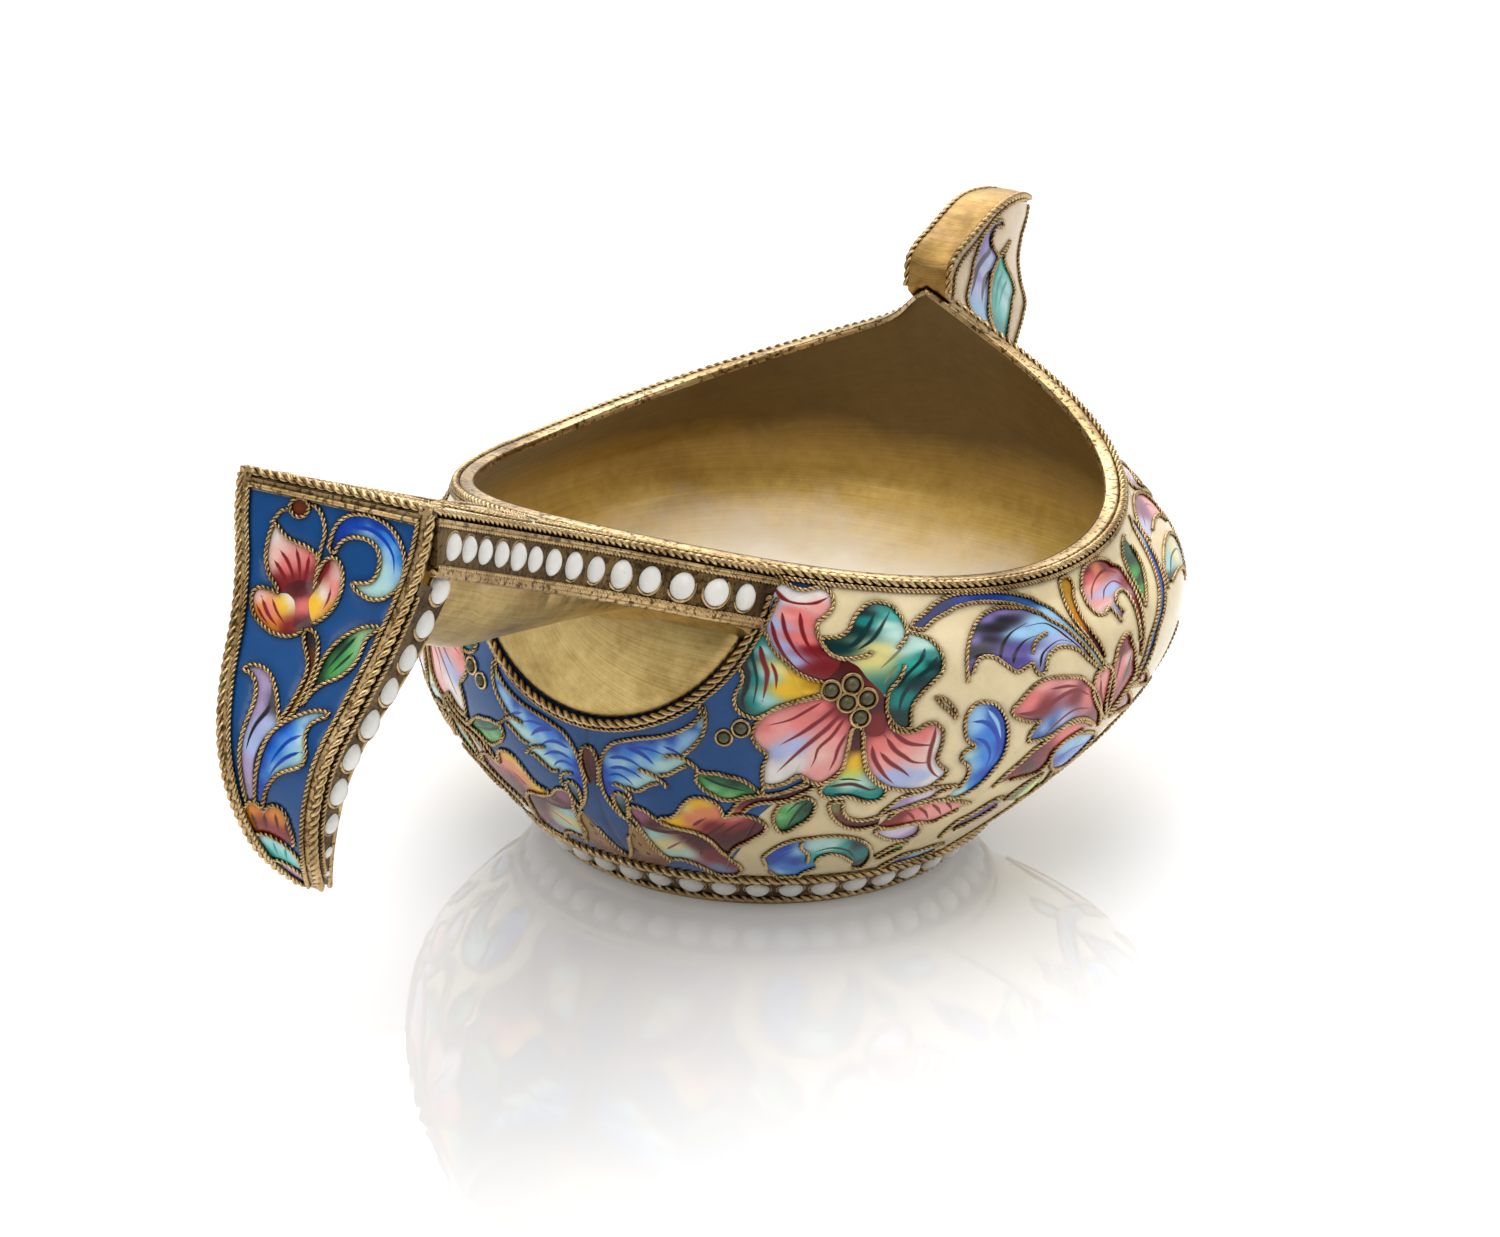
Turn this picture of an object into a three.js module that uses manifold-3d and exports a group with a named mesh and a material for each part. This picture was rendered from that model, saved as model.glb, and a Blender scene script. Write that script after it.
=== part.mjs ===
import * as THREE from "three";
import { mergeVertices } from "three/addons/utils/BufferGeometryUtils.js";
import Module from "manifold-3d";

// A small silver-gilt kovsh: an oval drinking bowl with a raised prow and a flat, hanging handle.
// Millimetres, +Z up. The origin is the middle of the foot, on the surface that it stands on.
// The prow points along +X, the handle along -X, and the near side is -Y.

const wasm = await Module();
wasm.setup();

// Sheet, solder gap and wire sizes
const seam = 0.3;
const silverSheet = 1.0;
const platingSheet = 0.8;
const enamelDepth = 0.6;
const ropeDiameter = 0.62;
const wireDiameter = 0.5;
const beadDiameter = 2.1;
const beadHeight = 0.45;
const beadPitch = 2.56;

// Foot: a 45 degree band of white beads between two ropes
const footRingRadius = 17.5;
const footRingHeight = 2.0;
const footBandWidth = 2.8;
const footBandSheet = 0.6;
const footBaseSheet = 0.8;
const footSlope = Math.PI / 4;

// Bowl: the belly oval
const bellyLength = 62.2;
const bellyWidth = 58.8;
const bellyShift = 4.2;
const bellyHeight = 19.3;

// Rim: the inner edge of the mouth
const rimLength = 52.4;
const rimWidth = 46.8;
const rimShift = 2.6;
const rimHeight = 26.2;
const rimBandWidth = 1.1;
const rimRiseAtHandle = 5.8;
const rimRiseAtProw = 9.5;
const rimRiseAtRoot = 1.9;
const rimPullAtRoot = 2.8;
const rimRootWidth = 3.0;

// Handle: a hollow tongue that climbs away from the rim
const handleLength = 35.0;
const handleLift = 0.45;
const handleEndHeight = 46.2;
const handleEndWidth = 15.8;
const handleStripHeight = 4.1;
const handleBellyDepth = 5.8;
const handleBellyWidth = 12.4;
const handleBeadPitch = 2.44;

// Terminal: the curved plate that hangs from the end of the handle
const terminalDrop = 28.2;
const terminalBulge = 7.9;
const terminalDepth = 6.0;

// Prow: a thin beak with a flat inner face
const prowWidth = 3.8;
const prowKeelWidth = 1.5;
const prowSheet = 0.6;
const prowReach = 18.2;
const prowLift = 30.0;
const prowInnerSheet = 0.7;

// Half-round plain panel on the bowl below the handle
const seatPanelRadius = 11.8;
const seatPanelDrop = 2.0;
const seatPanelMargin = 0.9;

// Granules in the middle of the large flower
const granuleDiameter = 1.5;
const granuleHeight = 0.5;

// Shares that shape the curves
const prowBluntShare = 2.4;
const handleBluntShare = 1.95;
const rimLowShare = 0.46;
const handleRiseShare = 2.4;
const prowRiseShare = 1.1;
const footFullShare = 0.4;
const bellyFullShare = 0.45;
const shoulderRiseShare = 0.55;
const shoulderLeanShare = 0.5;
const shoulderDropShare = 0.3;
const flowerTurnShare = 0.608;
const flowerRiseShare = 0.587;
const beadCrownShare = 0.7;

// Where the handle's beads begin, and how the trough under it narrows towards the bowl
const handleBeadStartShare = 0.27;
const troughEndShare = 0.93;
const troughNearShare = 0.1;
const troughWaistShare = 0.8;
const troughFullShare = 0.65;

// Where the plates of the terminal begin and end along it
const terminalTopShare = 0.035;
const terminalEndShare = 0.96;
const terminalSideShare = 0.17;
const terminalLeanShare = 0.085;
const terminalRearShare = 0.5;
const terminalRearEndShare = 0.69;
const terminalBeadEndShare = 0.93;
const terminalBeadBackShare = 0.6;

// Where the prow's parts begin and end along it, and how it draws in to a point
const prowRootShare = 0.2;
const prowPlateEndShare = 0.9;
const prowEndShare = 0.97;
const prowTaperShare = 0.72;
const prowTipShare = 0.36;
const keelCurveShare = 1.6;

// Handle edge seen from above: [share of the length from the bowl, share of the half width at the end]
const handleEdgeShares = [
  [-0.22, 1.68],
  [-0.11, 1.6],
  [-0.03, 1.53],
  [0.05, 1.43],
  [0.11, 1.28],
  [0.19, 1.1],
  [0.32, 0.93],
  [0.5, 0.86],
  [0.74, 0.91],
  [1, 1],
];

// Terminal from its top edge to its tip:
// [share of the drop, share of the bulge, share of the half width, share of the depth]
const terminalShares = [
  [0, 0, 1, 1],
  [0.11, 0.09, 0.975, 1],
  [0.21, 0.19, 0.9, 0.99],
  [0.333, 0.405, 0.8, 0.975],
  [0.457, 0.72, 0.7, 0.93],
  [0.58, 0.96, 0.58, 0.74],
  [0.677, 1, 0.505, 0.56],
  [0.77, 0.95, 0.43, 0.46],
  [0.872, 0.8, 0.34, 0.33],
  [0.94, 0.62, 0.25, 0.25],
  [1, 0.4, 0.14, 0.18],
];

// Prow in side view, as shares of its reach and lift beyond the root of the rim.
// The inner face runs from inside the bowl up to the tip, the keel from the belly up to the same tip.
const prowInnerShares = [
  [-0.36, -0.45],
  [-0.12, -0.18],
  [0, 0],
  [0.012, 0.07],
  [0.09, 0.105],
  [0.22, 0.13],
  [0.36, 0.158],
  [0.48, 0.176],
  [0.6, 0.18],
  [0.78, 0.165],
  [0.94, 0.13],
];
const prowKeelShares = [
  [0.2, -0.86],
  [0.42, -0.72],
  [0.68, -0.52],
  [0.87, -0.34],
  [0.97, -0.24],
  [0.985, -0.2],
  [0.92, -0.135],
  [0.875, -0.06],
  [0.89, 0],
  [0.935, 0.055],
  [0.96, 0.108],
];

// Steps along the curves
const bowlTurnSteps = 48;
const bowlRiseSteps = 8;
const ropeTurnSteps = 54;
const ropeSides = 6;
const beadSides = 8;
const granuleSides = 6;
const drumSides = 48;
const troughSteps = 10;
const searchRounds = 8;
const handleSteps = 12;
const terminalSteps = 14;
const prowSteps = 14;
const footBeadCount = Math.round((2 * Math.PI * footRingRadius) / beadPitch);

// Sizes that follow from the ones above
const ropeRadius = ropeDiameter / 2;
const wireRadius = wireDiameter / 2;
const edgeInset = ropeDiameter + seam;
const wallDepth = enamelDepth + seam + silverSheet;
const rimRopeOut = rimBandWidth + seam + ropeRadius;
const rimRopeStep = ropeDiameter + seam;
const rimWallOut = rimRopeOut + ropeRadius + seam;
const rimWallDrop = ropeRadius + 2 * rimRopeStep;
const handleRoot = rimShift - rimLength / 2 - rimWallOut;
const handleEnd = handleRoot - handleLength;
const handleRootHeight = rimHeight + rimRiseAtHandle + handleLift;
const seatPanelHeight = handleRootHeight - seatPanelDrop;
const prowRoot = rimShift + rimLength / 2 - rimPullAtRoot;
const prowRootHeight = rimHeight + rimRiseAtProw + rimRiseAtRoot;

const vec = (x, y, z) => new THREE.Vector3(x, y, z);
const up = vec(0, 0, 1);

// A closed solid through rows of points. Each row is a closed loop with an even number of points.
// Open rows are closed at both ends by pairing the points across the loop.
function loft(rows, closed) {
  const count = rows[0].length;
  const places = rows.flat().flatMap((p) => [p.x, p.y, p.z]);
  const faces = [];
  const quad = (a, b, c, d) => faces.push(a, b, c, a, c, d);
  const spans = closed ? rows.length : rows.length - 1;
  for (let i = 0; i < spans; i += 1) {
    const here = i * count;
    const next = ((i + 1) % rows.length) * count;
    for (let j = 0; j < count; j += 1) {
      const k = (j + 1) % count;
      quad(here + j, next + j, next + k, here + k);
    }
  }
  if (!closed) {
    const last = (rows.length - 1) * count;
    for (let j = 0; j < count / 2 - 1; j += 1) {
      const k = count - 1 - j;
      quad(j, j + 1, k - 1, k);
      quad(last + k, last + k - 1, last + j + 1, last + j);
    }
  }
  const geometry = new THREE.BufferGeometry();
  geometry.setAttribute("position", new THREE.Float32BufferAttribute(places, 3));
  geometry.setIndex(faces);
  return outward(withoutSlivers(mergeVertices(geometry)));
}

function withoutSlivers(geometry) {
  const index = geometry.index.array;
  const kept = [];
  for (let i = 0; i < index.length; i += 3) {
    const [a, b, c] = [index[i], index[i + 1], index[i + 2]];
    if (a !== b && b !== c && c !== a) kept.push(a, b, c);
  }
  geometry.setIndex(kept);
  return geometry;
}

function outward(geometry) {
  const place = geometry.attributes.position;
  const index = geometry.index.array;
  const [a, b, c] = [vec(0, 0, 0), vec(0, 0, 0), vec(0, 0, 0)];
  let volume = 0;
  for (let i = 0; i < index.length; i += 3) {
    a.fromBufferAttribute(place, index[i]);
    b.fromBufferAttribute(place, index[i + 1]);
    c.fromBufferAttribute(place, index[i + 2]);
    volume += a.dot(b.cross(c));
  }
  if (volume < 0) geometry.setIndex(Array.from(index).reverse());
  return geometry;
}

// Joins and cuts
function solid(geometry) {
  const bare = geometry.clone();
  bare.deleteAttribute("normal");
  bare.deleteAttribute("uv");
  const merged = mergeVertices(bare);
  return new wasm.Manifold(
    new wasm.Mesh({
      numProp: 3,
      vertProperties: new Float32Array(merged.attributes.position.array),
      triVerts: new Uint32Array(merged.index.array),
    }),
  );
}

function fromSolid(body) {
  const mesh = body.getMesh();
  const geometry = new THREE.BufferGeometry();
  geometry.setAttribute("position", new THREE.Float32BufferAttribute(mesh.vertProperties, 3));
  geometry.setIndex(Array.from(mesh.triVerts));
  return geometry;
}

// A slab between two matching surfaces, each a function of (i, j) on a grid
function slab(iSteps, jSteps, outer, inner, closed = false) {
  const rows = [];
  const count = closed ? iSteps : iSteps + 1;
  for (let i = 0; i < count; i += 1) {
    const row = [];
    for (let j = 0; j <= jSteps; j += 1) row.push(outer(i / iSteps, j / jSteps));
    for (let j = jSteps; j >= 0; j -= 1) row.push(inner(i / iSteps, j / jSteps));
    rows.push(row);
  }
  return loft(rows, closed);
}

// A round wire through a list of points, open or closed
function wire(points, radius, closed = false) {
  const rows = points.map((point, i) => {
    const before = points[closed ? (i - 1 + points.length) % points.length : Math.max(i - 1, 0)];
    const after = points[closed ? (i + 1) % points.length : Math.min(i + 1, points.length - 1)];
    const along = after.clone().sub(before).normalize();
    const across = (Math.abs(along.z) > Math.SQRT1_2 ? vec(0, 1, 0) : up).clone().cross(along).normalize();
    const over = along.clone().cross(across);
    const row = [];
    for (let k = 0; k < ropeSides; k += 1) {
      const turn = ((k + 1 / 2) / ropeSides) * 2 * Math.PI;
      row.push(
        point
          .clone()
          .addScaledVector(across, radius * Math.cos(turn))
          .addScaledVector(over, radius * Math.sin(turn)),
      );
    }
    return row;
  });
  return loft(rows, closed);
}

// A shallow round bead standing on a surface
function bead(point, normal, diameter = beadDiameter, height = beadHeight, sides = beadSides) {
  const radius = diameter / 2;
  const profile = [
    new THREE.Vector2(0, -seam),
    new THREE.Vector2(radius, -seam),
    new THREE.Vector2(radius * beadCrownShare, height),
    new THREE.Vector2(0, height),
  ];
  const dome = new THREE.LatheGeometry(profile, sides);
  dome.applyQuaternion(new THREE.Quaternion().setFromUnitVectors(vec(0, 1, 0), normal));
  return dome.translate(point.x, point.y, point.z);
}

function withBeads(geometry, beads) {
  return fromSolid(beads.reduce((body, one) => body.add(solid(one)), solid(geometry)));
}

// Rim and wall of the bowl. A turn of 0 is at the prow, 1/2 at the handle, and 3/4 on the near side.
function ovalAt(turn) {
  const c = Math.cos(2 * Math.PI * turn);
  const s = Math.sin(2 * Math.PI * turn);
  const power = 2 / (c > 0 ? prowBluntShare : handleBluntShare);
  return [Math.sign(c) * Math.abs(c) ** power, Math.sign(s) * Math.abs(s) ** power];
}

function rimPoint(turn, out = 0, drop = 0) {
  const [c, s] = ovalAt(turn);
  const y = (rimWidth / 2 + out) * s;
  const root = c > 0 ? Math.exp(-((y / rimRootWidth) ** 2)) : 0;
  const back = Math.max(0, (rimLowShare - c) / (1 + rimLowShare)) ** handleRiseShare;
  const front = c > 0 ? (1 - Math.abs(s)) ** prowRiseShare : 0;
  const x = rimShift + (rimLength / 2 + out) * c - rimPullAtRoot * root;
  const z = rimHeight + rimRiseAtHandle * back + rimRiseAtProw * front + rimRiseAtRoot * root;
  return vec(x, y, z - drop);
}

function bezier(a, b, c, d, t) {
  return new THREE.CubicBezierCurve3(a, b, c, d).getPoint(t);
}

const footTopOut = footBandWidth / 2 + ropeDiameter + 2 * seam;

function footPoint(turn, along, inward = 0) {
  const radius = footRingRadius + along * Math.cos(footSlope) - inward * Math.sin(footSlope);
  const height = footRingHeight + along * Math.sin(footSlope) + inward * Math.cos(footSlope);
  const angle = 2 * Math.PI * turn;
  return vec(radius * Math.cos(angle), radius * Math.sin(angle), height);
}

function bellyPoint(turn) {
  const [c, s] = ovalAt(turn);
  return vec(bellyShift + (bellyLength / 2) * c, (bellyWidth / 2) * s, bellyHeight);
}

// The outer face of the enamel, from the foot (rise 0) through the belly to the rim (rise 1)
function wallPoint(turn, rise) {
  const belly = bellyPoint(turn);
  if (rise < 1 / 2) {
    const foot = footPoint(turn, footTopOut);
    const reach = foot.distanceTo(belly) * footFullShare;
    const leave = footPoint(turn, footTopOut + reach);
    const meet = belly.clone().addScaledVector(up, -bellyFullShare * (belly.z - foot.z));
    return bezier(foot, leave, meet, belly, rise * 2);
  }
  const rim = rimPoint(turn, rimWallOut, rimWallDrop);
  const climb = rim.z - belly.z;
  const leave = belly.clone().addScaledVector(up, shoulderRiseShare * climb);
  const meet = rim.clone().lerp(belly, shoulderLeanShare);
  meet.z = rim.z - shoulderDropShare * climb;
  return bezier(belly, leave, meet, rim, rise * 2 - 1);
}

const probe = 1e-3;

function wallNormal(turn, rise) {
  const low = Math.max(rise - probe, 0);
  const high = Math.min(rise + probe, 1);
  const around = wallPoint(turn + probe, rise).sub(wallPoint(turn - probe, rise));
  const along = wallPoint(turn, high).sub(wallPoint(turn, low));
  return around.cross(along).normalize();
}

function wallInside(turn, rise, depth) {
  return wallPoint(turn, rise).addScaledVector(wallNormal(turn, rise), -depth);
}

const shellOut = enamelDepth + seam;

function bowlShell() {
  const floorBottom = footBaseSheet + seam;
  const floorTop = floorBottom + silverSheet;
  const footLow = (height, inward) => (height - footRingHeight) / Math.sin(footSlope) - inward;
  const rows = [];
  for (let i = 0; i < bowlTurnSteps; i += 1) {
    const turn = i / bowlTurnSteps;
    const row = [vec(0, 0, floorBottom), footPoint(turn, footLow(floorBottom, shellOut), shellOut)];
    for (let j = 0; j <= bowlRiseSteps; j += 1) row.push(wallInside(turn, j / bowlRiseSteps, shellOut));
    for (let j = bowlRiseSteps; j >= 0; j -= 1) row.push(wallInside(turn, j / bowlRiseSteps, wallDepth));
    row.push(footPoint(turn, footLow(floorTop, wallDepth), wallDepth), vec(0, 0, floorTop));
    rows.push(row);
  }
  return loft(rows, true);
}

// The bright band that closes the top of the wall
function rimBand() {
  const rows = [];
  for (let i = 0; i < bowlTurnSteps; i += 1) {
    const turn = i / bowlTurnSteps;
    const climb = wallPoint(turn, 1).sub(wallPoint(turn, 1 - probe)).normalize().multiplyScalar(seam);
    rows.push([
      rimPoint(turn),
      rimPoint(turn, rimBandWidth),
      wallInside(turn, 1, shellOut).add(climb),
      wallInside(turn, 1, wallDepth).add(climb),
    ]);
  }
  return loft(rows, true);
}

function around(place) {
  return Array.from({ length: ropeTurnSteps }, (_, i) => place(i / ropeTurnSteps));
}

const rimRopeUpper = () => wire(around((turn) => rimPoint(turn, rimRopeOut, ropeRadius)), ropeRadius, true);
const rimRopeLower = () =>
  wire(around((turn) => rimPoint(turn, rimRopeOut, ropeRadius + rimRopeStep)), ropeRadius, true);
const footRope = (side) =>
  wire(around((turn) => footPoint(turn, side * (footBandWidth / 2 + seam + ropeRadius))), ropeRadius, true);

function footBase() {
  const low = footPoint(0, -(footBandWidth / 2 + seam + ropeDiameter + seam));
  const base = new THREE.CylinderGeometry(low.x, low.x, footBaseSheet, ropeTurnSteps / 2);
  return base.rotateX(Math.PI / 2).translate(0, 0, footBaseSheet / 2);
}

function footBeadBand() {
  const half = footBandWidth / 2;
  const outer = (turn, v) => footPoint(turn, half * (2 * v - 1));
  const inner = (turn, v) => footPoint(turn, half * (2 * v - 1), footBandSheet);
  const band = slab(footBeadCount, 1, outer, inner, true);
  const beads = [];
  for (let i = 0; i < footBeadCount; i += 1) {
    const turn = i / footBeadCount;
    const normal = footPoint(turn, 0).sub(footPoint(turn, 0, 1)).normalize();
    beads.push(bead(footPoint(turn, 0), normal));
  }
  return withBeads(band, beads);
}

// Enamel between two turns of the wall
function field(from, to, steps) {
  const place = (depth) => (u, v) => wallInside(from + (to - from) * u, v, depth);
  return slab(steps, bowlRiseSteps, place(0), place(enamelDepth));
}

function mirrored(geometry) {
  return outward(geometry.clone().scale(1, -1, 1));
}

// A drum along X that marks out the half-round panel
function panelDrum(radius) {
  const length = bellyLength;
  const drum = new THREE.CylinderGeometry(radius, radius, length, drumSides);
  return solid(drum.rotateZ(Math.PI / 2).translate(-length / 2, 0, seatPanelHeight));
}

// The place between low and high up to which the test holds
function lastWhere(low, high, test) {
  const middle = (low + high) / 2;
  if (high - low < probe * probe) return middle;
  return test(middle) ? lastWhere(middle, high, test) : lastWhere(low, middle, test);
}

// The turn and rise of the wall on the handle side that have the given y and z, or the rim above it
function wallAtHandle(y, z) {
  let turn = 1 / 2;
  let rise = 1;
  for (let k = 0; k < searchRounds; k += 1) {
    turn = lastWhere(1 / 4, 3 / 4, (t) => wallPoint(t, rise).y > y);
    rise = lastWhere(0, 1, (r) => wallPoint(turn, r).z < z);
  }
  return [turn, rise];
}

// The blue field reaches a margin past the rope of the half-round panel, and the cream fields take the rest
const blueReach = seatPanelRadius + edgeInset + seatPanelMargin;
const blueHalf = wallAtHandle(-blueReach, seatPanelHeight)[0] - 1 / 2;
const seamTurn = seam / 2 / bellyWidth;
const creamSteps = Math.round(bowlTurnSteps * (1 / 2 - blueHalf));
const blueSteps = Math.round(bowlTurnSteps * 2 * blueHalf);
const creamField = (side) => {
  const near = field(1 / 2 + blueHalf + seamTurn, 1 - seamTurn, creamSteps);
  return side < 0 ? near : mirrored(near);
};

const blueBlank = () => solid(field(1 / 2 - blueHalf, 1 / 2 + blueHalf, blueSteps));
const blueField = () => fromSolid(blueBlank().subtract(panelDrum(seatPanelRadius + edgeInset + seam)));
const seatPanel = () => fromSolid(blueBlank().intersect(panelDrum(seatPanelRadius)));

function seatPanelRope() {
  const radius = seatPanelRadius + seam + ropeRadius;
  const points = [];
  for (let i = 0; i <= handleSteps * 2; i += 1) {
    const angle = Math.PI * (1 + i / (handleSteps * 2));
    const height = seatPanelHeight + radius * Math.sin(angle);
    const [turn, rise] = wallAtHandle(radius * Math.cos(angle), height);
    const onWall = Math.abs(wallPoint(turn, rise).z - height) < probe;
    if (onWall) points.push(wallInside(turn, rise, ropeRadius));
  }
  return wire(points, ropeRadius);
}

// Everything that the bowl takes up, with its seam, to trim the handle and the prow where they meet it
function bowlBlank() {
  const rows = [];
  const top = vec(0, 0, prowRootHeight + rimRiseAtProw);
  for (let i = 0; i < bowlTurnSteps * 2; i += 1) {
    const turn = i / (bowlTurnSteps * 2);
    const row = [vec(0, 0, 0), footPoint(turn, footTopOut, -seam)];
    for (let j = 1; j <= bowlRiseSteps; j += 1) row.push(wallInside(turn, j / bowlRiseSteps, -seam));
    const out = rimRopeOut + ropeRadius + seam;
    row.push(rimPoint(turn, out, rimRopeStep), rimPoint(turn, out, -seam), top);
    rows.push(row);
  }
  return solid(loft(rows, true));
}
const bowlVolume = bowlBlank();
const clearOfBowl = (geometry) => fromSolid(solid(geometry).subtract(bowlVolume));

// Handle edge, as stations of x, half width and top height
function curveThrough(rows) {
  return new THREE.CatmullRomCurve3(rows.map((row) => vec(row[0], row[1], row[2])), false, "centripetal");
}

const handleSlope = (handleEndHeight - handleRootHeight) / handleLength;
const handleTop = (x) => handleRootHeight + handleSlope * (handleRoot - x);
const handleEdge = curveThrough(
  handleEdgeShares.map(([length, width]) => {
    const x = handleRoot - handleLength * length;
    return [x, (handleEndWidth / 2) * width, handleTop(x)];
  }),
);

// The share of the edge curve at which it stands the given distance short of the terminal's front
function edgeShareShortOf(distance) {
  return lastWhere(0, 1, (share) => handleEdge.getPoint(share).x > handleEnd + distance);
}

// A point near the handle's edge: inward from the edge, below the top, on the near (-1) or far (1) side
function edgePoint(share, inward, drop, side) {
  const point = handleEdge.getPoint(share);
  const along = handleEdge.getTangent(share);
  const plan = Math.hypot(along.x, along.y);
  const x = point.x - (inward * along.y) / plan;
  const y = point.y + (inward * along.x) / plan;
  return vec(x, side * y, handleTop(x) - drop);
}

function handlePlate(inset, topDrop, sheet) {
  const end = edgeShareShortOf(topDrop + sheet + seam);
  const place = (drop) => (u, v) => {
    const edge = edgePoint(u * end, inset, drop, 1);
    return vec(edge.x, edge.y * (2 * v - 1), edge.z);
  };
  return clearOfBowl(slab(handleSteps, 2, place(topDrop), place(topDrop + sheet)));
}
const handleTopEnamel = () => handlePlate(edgeInset, 0, enamelDepth);
const handleTopPlate = () => handlePlate(platingSheet + seam, enamelDepth + seam, platingSheet);

function handleStrip(side) {
  const end = edgeShareShortOf(edgeInset);
  const place = (inward) => (u, v) => {
    return edgePoint(u * end, inward, edgeInset + (handleStripHeight - edgeInset) * v, side);
  };
  const strip = slab(handleSteps, 1, place(0), place(platingSheet));
  const middle = edgeInset + (handleStripHeight - edgeInset) / 2;
  const beads = [];
  const length = handleEdge.getLength();
  for (let run = length - handleBeadPitch; run > length * handleBeadStartShare; run -= handleBeadPitch) {
    const share = handleEdge.getUtoTmapping(0, run);
    const point = edgePoint(share, 0, middle, side);
    beads.push(bead(point, point.clone().sub(edgePoint(share, 1, middle, side)).normalize()));
  }
  return clearOfBowl(withBeads(strip, beads));
}

function handleEdgeRope(side) {
  const points = [];
  const end = edgeShareShortOf(edgeInset);
  for (let i = 0; i <= handleSteps * 2; i += 1) {
    points.push(edgePoint((end * i) / (handleSteps * 2), ropeRadius, ropeRadius, side));
  }
  return clearOfBowl(wire(points, ropeRadius));
}

function handleLowerWire(side) {
  const points = [];
  for (let i = 0; i <= handleSteps * 2; i += 1) {
    points.push(edgePoint(i / (handleSteps * 2), wireRadius, handleStripHeight + seam + wireRadius, side));
  }
  return clearOfBowl(wire(points, wireRadius));
}

// The underside of the hollow handle: a round trough with a flat wing out to each side strip.
// The trough grows shallower and narrower towards the bowl.
function handleUnderside() {
  const topDrop = handleStripHeight + wireDiameter + 2 * seam;
  const place = (shrink) => (u, v) => {
    const edge = edgePoint(u * troughEndShare, wireDiameter + seam, topDrop, 1);
    const reach = Math.min(1, Math.max(0, (handleRoot - edge.x) / handleLength) / troughFullShare);
    const grown = troughNearShare + (1 - troughNearShare) * reach;
    const wide = (handleBellyWidth / 2) * (troughWaistShare + (1 - troughWaistShare) * reach);
    const half = Math.min(wide, edge.y - platingSheet);
    const angle = (Math.PI * (v * troughSteps - 1)) / (troughSteps - 2);
    const inTrough = v > 0 && v < 1;
    const y = inTrough ? (half - shrink) * Math.cos(angle) : Math.sign(1 / 2 - v) * edge.y;
    const depth = inTrough ? handleBellyDepth * grown * Math.sin(angle) : 0;
    return vec(edge.x, y, edge.z - depth + shrink);
  };
  return clearOfBowl(slab(handleSteps, troughSteps, place(0), place(platingSheet)));
}

// Terminal stations from the top edge (0) to the tip (1)
const terminalFront = curveThrough(
  terminalShares.map(([drop, bulge, width]) => [
    handleEnd - terminalBulge * bulge,
    (handleEndWidth / 2) * width,
    handleEndHeight - terminalDrop * drop,
  ]),
);
const terminalRear = curveThrough(
  terminalShares.map(([drop, bulge, width, depth]) => [
    handleEnd - terminalBulge * bulge + terminalDepth * depth,
    (handleEndWidth / 2) * width,
    handleEndHeight - terminalDrop * drop,
  ]),
);

// A point of the terminal: front (0) to rear (1), moved behind the front face and in from its side
function terminalPoint(share, through, behind, inward, side) {
  const front = terminalFront.getPoint(share);
  const along = terminalFront.getTangent(share);
  const point = front.lerp(terminalRear.getPoint(share), through);
  const flat = Math.hypot(along.x, along.z);
  point.x += (behind * -along.z) / flat;
  point.z += (behind * along.x) / flat;
  return vec(point.x, side * (point.y - inward), point.z);
}

function terminalSheet(from, to, through, behind, inset, sheet) {
  const place = (depth) => (u, v) => {
    const point = terminalPoint(from + (to - from) * u, through, behind + depth, inset, 1);
    return vec(point.x, point.y * (2 * v - 1), point.z);
  };
  return slab(terminalSteps, 2, place(0), place(sheet));
}

const terminalEnamel = () =>
  terminalSheet(terminalTopShare, terminalEndShare, 0, 0, edgeInset, enamelDepth);
const terminalFrontPlate = () =>
  terminalSheet(terminalTopShare, terminalEndShare, 0, enamelDepth + seam, platingSheet + seam, platingSheet);
const terminalRearPlate = () =>
  terminalSheet(terminalRearShare, terminalRearEndShare, 1, -platingSheet, platingSheet + seam, platingSheet);

function terminalSide(side) {
  const place = (inward) => (u, v) => {
    const from = terminalSideShare + terminalLeanShare * v;
    const share = from + (1 - from) * u;
    const front = terminalPoint(share, 0, edgeInset, inward, side);
    return front.lerp(terminalPoint(share, 1, 0, inward, side), v);
  };
  const plate = slab(terminalSteps, 1, place(0), place(platingSheet));
  const beads = [];
  const length = terminalFront.getLength();
  const first = length * (terminalSideShare + terminalLeanShare * terminalBeadBackShare) + beadDiameter / 2;
  for (let run = first; run < length * terminalBeadEndShare; run += beadPitch) {
    const share = terminalFront.getUtoTmapping(0, run);
    const front = terminalPoint(share, 0, edgeInset, 0, side);
    const rear = terminalPoint(share, 1, 0, 0, side);
    const diameter = Math.min(beadDiameter, front.distanceTo(rear) - seam);
    beads.push(bead(front.lerp(rear, terminalBeadBackShare), vec(0, side, 0), diameter));
  }
  return withBeads(plate, beads);
}

function terminalEdgeRope(side) {
  const points = [];
  for (let i = 0; i <= terminalSteps * 2; i += 1) {
    const share = terminalTopShare + (1 - terminalTopShare) * (i / (terminalSteps * 2));
    points.push(terminalPoint(share, 0, ropeRadius, ropeRadius, side));
  }
  return wire(points, ropeRadius);
}

function terminalTopRope() {
  const half = handleEndWidth / 2 - ropeDiameter - seam;
  const x = handleEnd + ropeRadius;
  const z = handleEndHeight - ropeRadius;
  return wire([vec(x, -half, z), vec(x, 0, z), vec(x, half, z)], ropeRadius);
}

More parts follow.
